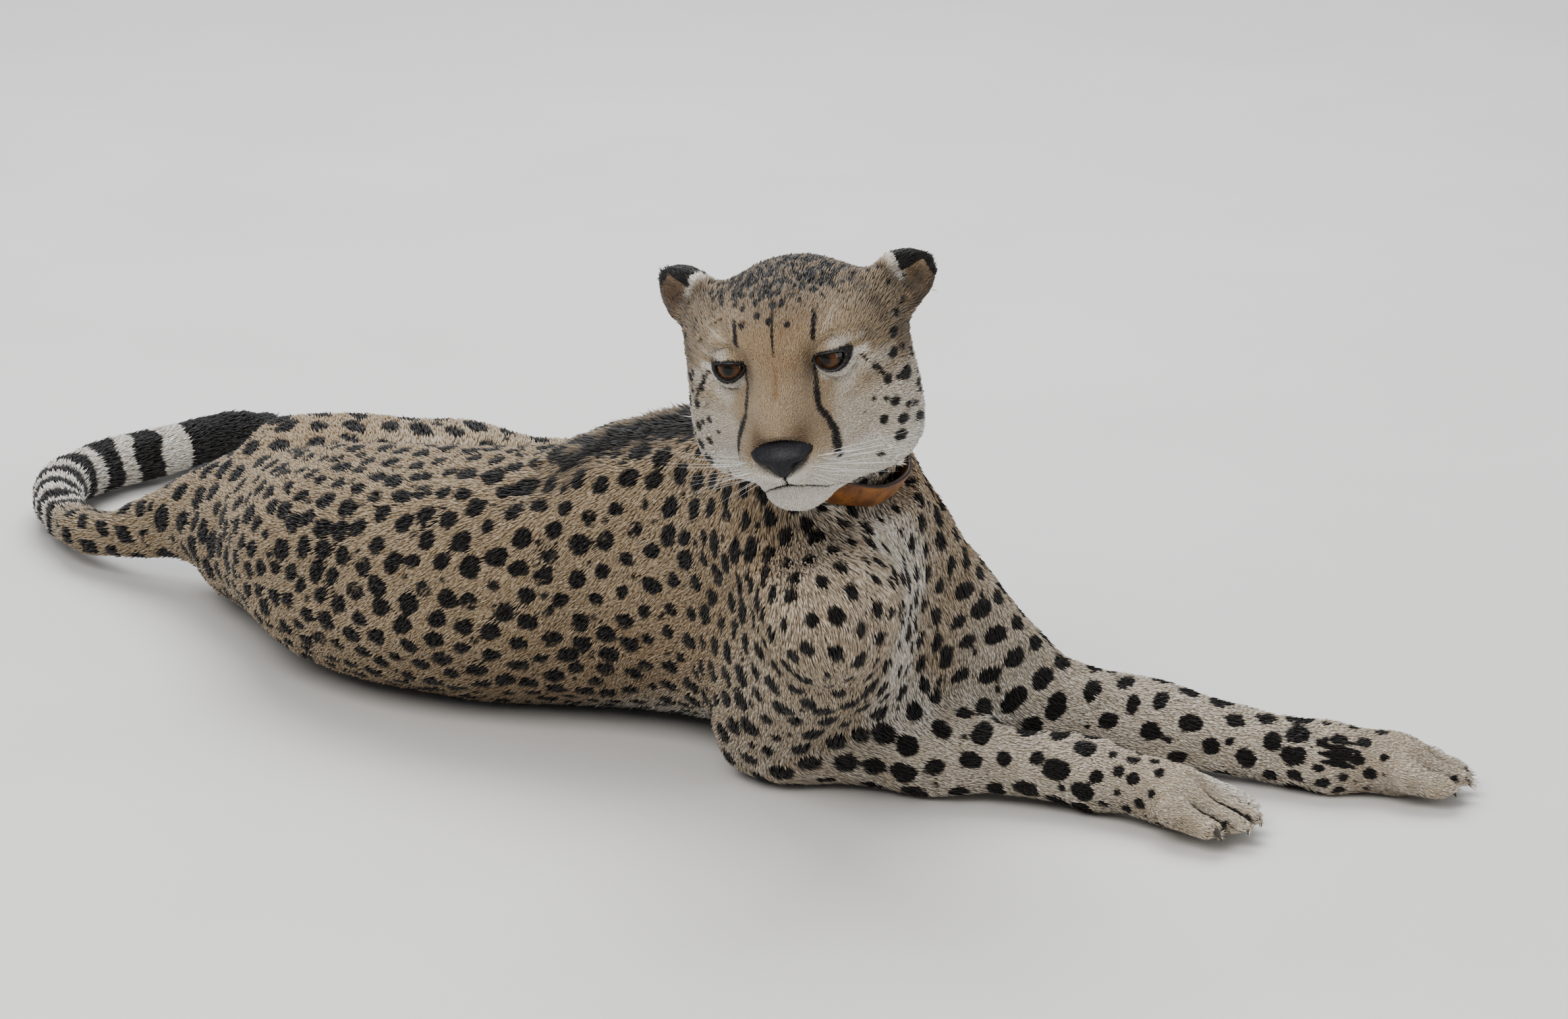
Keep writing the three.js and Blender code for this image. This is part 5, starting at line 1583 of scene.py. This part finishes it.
def make_collar():
    """A worn leather band with rounded, darker edges and a line of stitches along each."""
    middle, axes = collar_frame()
    solid = (points_of(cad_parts["collar"].data) - middle) @ axes.T
    long_half, short_half, wide = np.abs(solid).max(0)
    around, across = 160, 20
    turn = np.arange(across) * 2 * math.pi / across
    u, v = np.cos(turn), np.sin(turn)
    flat = np.copysign(np.abs(u) ** 0.35, u)
    over = flat * (wide - 0.0012)
    deep = np.copysign(np.abs(v) ** 0.55, v) * COLLAR_THICK / 2
    place, half, sunk = STITCHES
    stitches = sunk * (np.abs(np.abs(over) - place) < half) * (deep > 0)
    angle = (np.arange(around) * 2 * math.pi / around)[:, None]
    out = deep - stitches + 0.0007 * np.sin(5 * angle + 0.6) + 0.0004 * np.sin(11 * angle)
    x = np.cos(angle) * (long_half - COLLAR_INSET + out)
    y = np.sin(angle) * (short_half - COLLAR_INSET + out)
    points = np.stack([x, y, over + 0 * x], -1).reshape(-1, 3) @ axes + middle
    piece = mesh_piece("collar_band", points, band_faces(around, across), leather_finish())
    set_attribute(piece.data, "edge", np.tile(np.abs(flat), around))
    return faced_outwards(piece)


def leather_finish():
    finish = Finish("worn_brown_leather", Coat_Weight=0.15, Coat_Roughness=0.35)
    place = finish.place()
    grain = finish.pebbles(place, 900.0)
    patches = finish.noise(place, 60.0, 4.0, 0.6)
    scuffs = finish.noise(place, 260.0, 4.0, 0.7)
    edge = finish.attribute("edge") + (patches - 0.5) * 0.3
    colour = finish.mix(patches.step(0.32, 0.68), (0.115, 0.042, 0.012), (0.300, 0.125, 0.034))
    colour = finish.mix(scuffs.step(0.56, 0.72) * 0.8, colour, (0.035, 0.018, 0.010))
    colour = finish.mix(edge.step(0.82, 1.02), colour, (0.030, 0.017, 0.011))
    normal = finish.bump(grain * -0.6 + scuffs * 0.5, 0.5, 0.0006)
    return finish.use(Base_Color=colour, Roughness=scuffs * 0.35 + 0.32, Normal=normal)


# ---- stage -------------------------------------------------------------------------------------------

CAMERA = {"target": (0.397, -0.215, 0.25), "azimuth": 50.0, "elevation": 17.5, "distance": 4.0}
SENSOR = 36.0
LENS = 129.4789916  # in millimetres, as the sensor
LAMPS_AIM = (0.1, -0.1, 0.15)
LAMPS = [  # name, place, size, power and colour
    ("key", (1.2, -2.6, 2.8), 2.2, 95.0, (1.0, 0.985, 0.96)),
    ("sky", (-1.4, 1.0, 3.2), 3.0, 120.0, (0.95, 0.975, 1.0)),
    ("fill", (3.6, 0.6, 1.4), 2.2, 32.0, (1.0, 0.98, 0.95)),
]


def add_object(name, data, place, towards):
    """A lamp or camera that looks along a direction."""
    item = bpy.data.objects.new(name, data)
    bpy.context.scene.collection.objects.link(item)
    item.location = place
    item.rotation_mode = "QUATERNION"
    item.rotation_quaternion = towards.to_track_quat("-Z", "Y")
    return item


def lamp(name, place, size, power, colour):
    data = bpy.data.lights.new(name, "AREA")
    data.size = size
    data.energy = power
    data.color = colour
    add_object(name, data, place, Vector(LAMPS_AIM) - Vector(place))


def make_stage():
    deselect()
    bpy.ops.mesh.primitive_plane_add(size=16.0)
    floor = bpy.context.object
    floor.name = "floor"
    finish = Finish("pale_floor", Roughness=0.85)
    noise = finish.noise(finish.place(), 3.0, 4.0, 0.5)
    colour = finish.mix(noise.step(0.2, 0.8), (0.66, 0.645, 0.62), (0.70, 0.685, 0.66))
    floor.data.materials.append(finish.use(Base_Color=colour))
    for settings in LAMPS:
        lamp(*settings)
    world = bpy.data.worlds.new("studio")
    bpy.context.scene.world = world
    world.use_nodes = True
    light = world.node_tree.nodes["Background"].inputs
    light["Color"].default_value = (0.86, 0.90, 0.96, 1.0)
    light["Strength"].default_value = 0.45
    bpy.context.scene.view_settings.view_transform = "AgX"
    bpy.context.scene.view_settings.look = "AgX - Medium High Contrast"


def make_camera():
    data = bpy.data.cameras.new("camera")
    data.sensor_width = SENSOR
    data.lens = LENS
    data.clip_start = 0.1
    data.clip_end = 60.0
    turn, rise = math.radians(CAMERA["azimuth"]), math.radians(CAMERA["elevation"])
    back = Vector((math.sin(turn) * math.cos(rise), -math.cos(turn) * math.cos(rise), math.sin(rise)))
    place = Vector(CAMERA["target"]) + back * CAMERA["distance"]
    bpy.context.scene.camera = add_object("camera", data, place, -back)


# ---- putting it together -----------------------------------------------------------------------------

def face_ground(piece):
    """A function that gives how far ahead the skin lies at a place on the face."""
    points = [Vector(p) for p in in_head(points_of(piece.data))]
    tree = BVHTree.FromPolygons(points, triangles_of(piece.data).tolist())

    def ground(y, z):
        hit = tree.ray_cast(Vector((0.15, y, z)), Vector((-1, 0, 0)))
        return hit[0].x if hit[0] else -0.02

    return ground


skin_piece = make_skin()
skin = Skin(skin_piece)
patches = unwrap(skin_piece)
skin_piece.data.materials.clear()
skin_piece.data.materials.append(skin_finish())
ground = face_ground(skin_piece)
coats = grow_coat(skin, patches, fur_finish())
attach(skin_piece, "root")
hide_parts(*FLESH)
for piece in coats:
    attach(piece, "root")
for side, node in ((1, "eye_left"), (-1, "eye_right")):
    eye = make_eye(side)
    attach(eye, "root")
    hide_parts(node)
    rim = lid_ring(side, ground)
    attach(rim, "root")
nose = make_nose()
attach(nose, "root")
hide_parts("nose")
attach(make_whiskers(ground), "root")
horn = mottled_finish(
    "dark_horn", 700.0, (0.022, 0.018, 0.016), (0.070, 0.056, 0.045), 0.25,
    Roughness=0.42, Coat_Weight=0.2, Coat_Roughness=0.3,
)
for name in LEGS:
    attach(make_claws(name, horn), "root")
collar = make_collar()
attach(collar, "root")
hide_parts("collar")
make_stage()
make_camera()
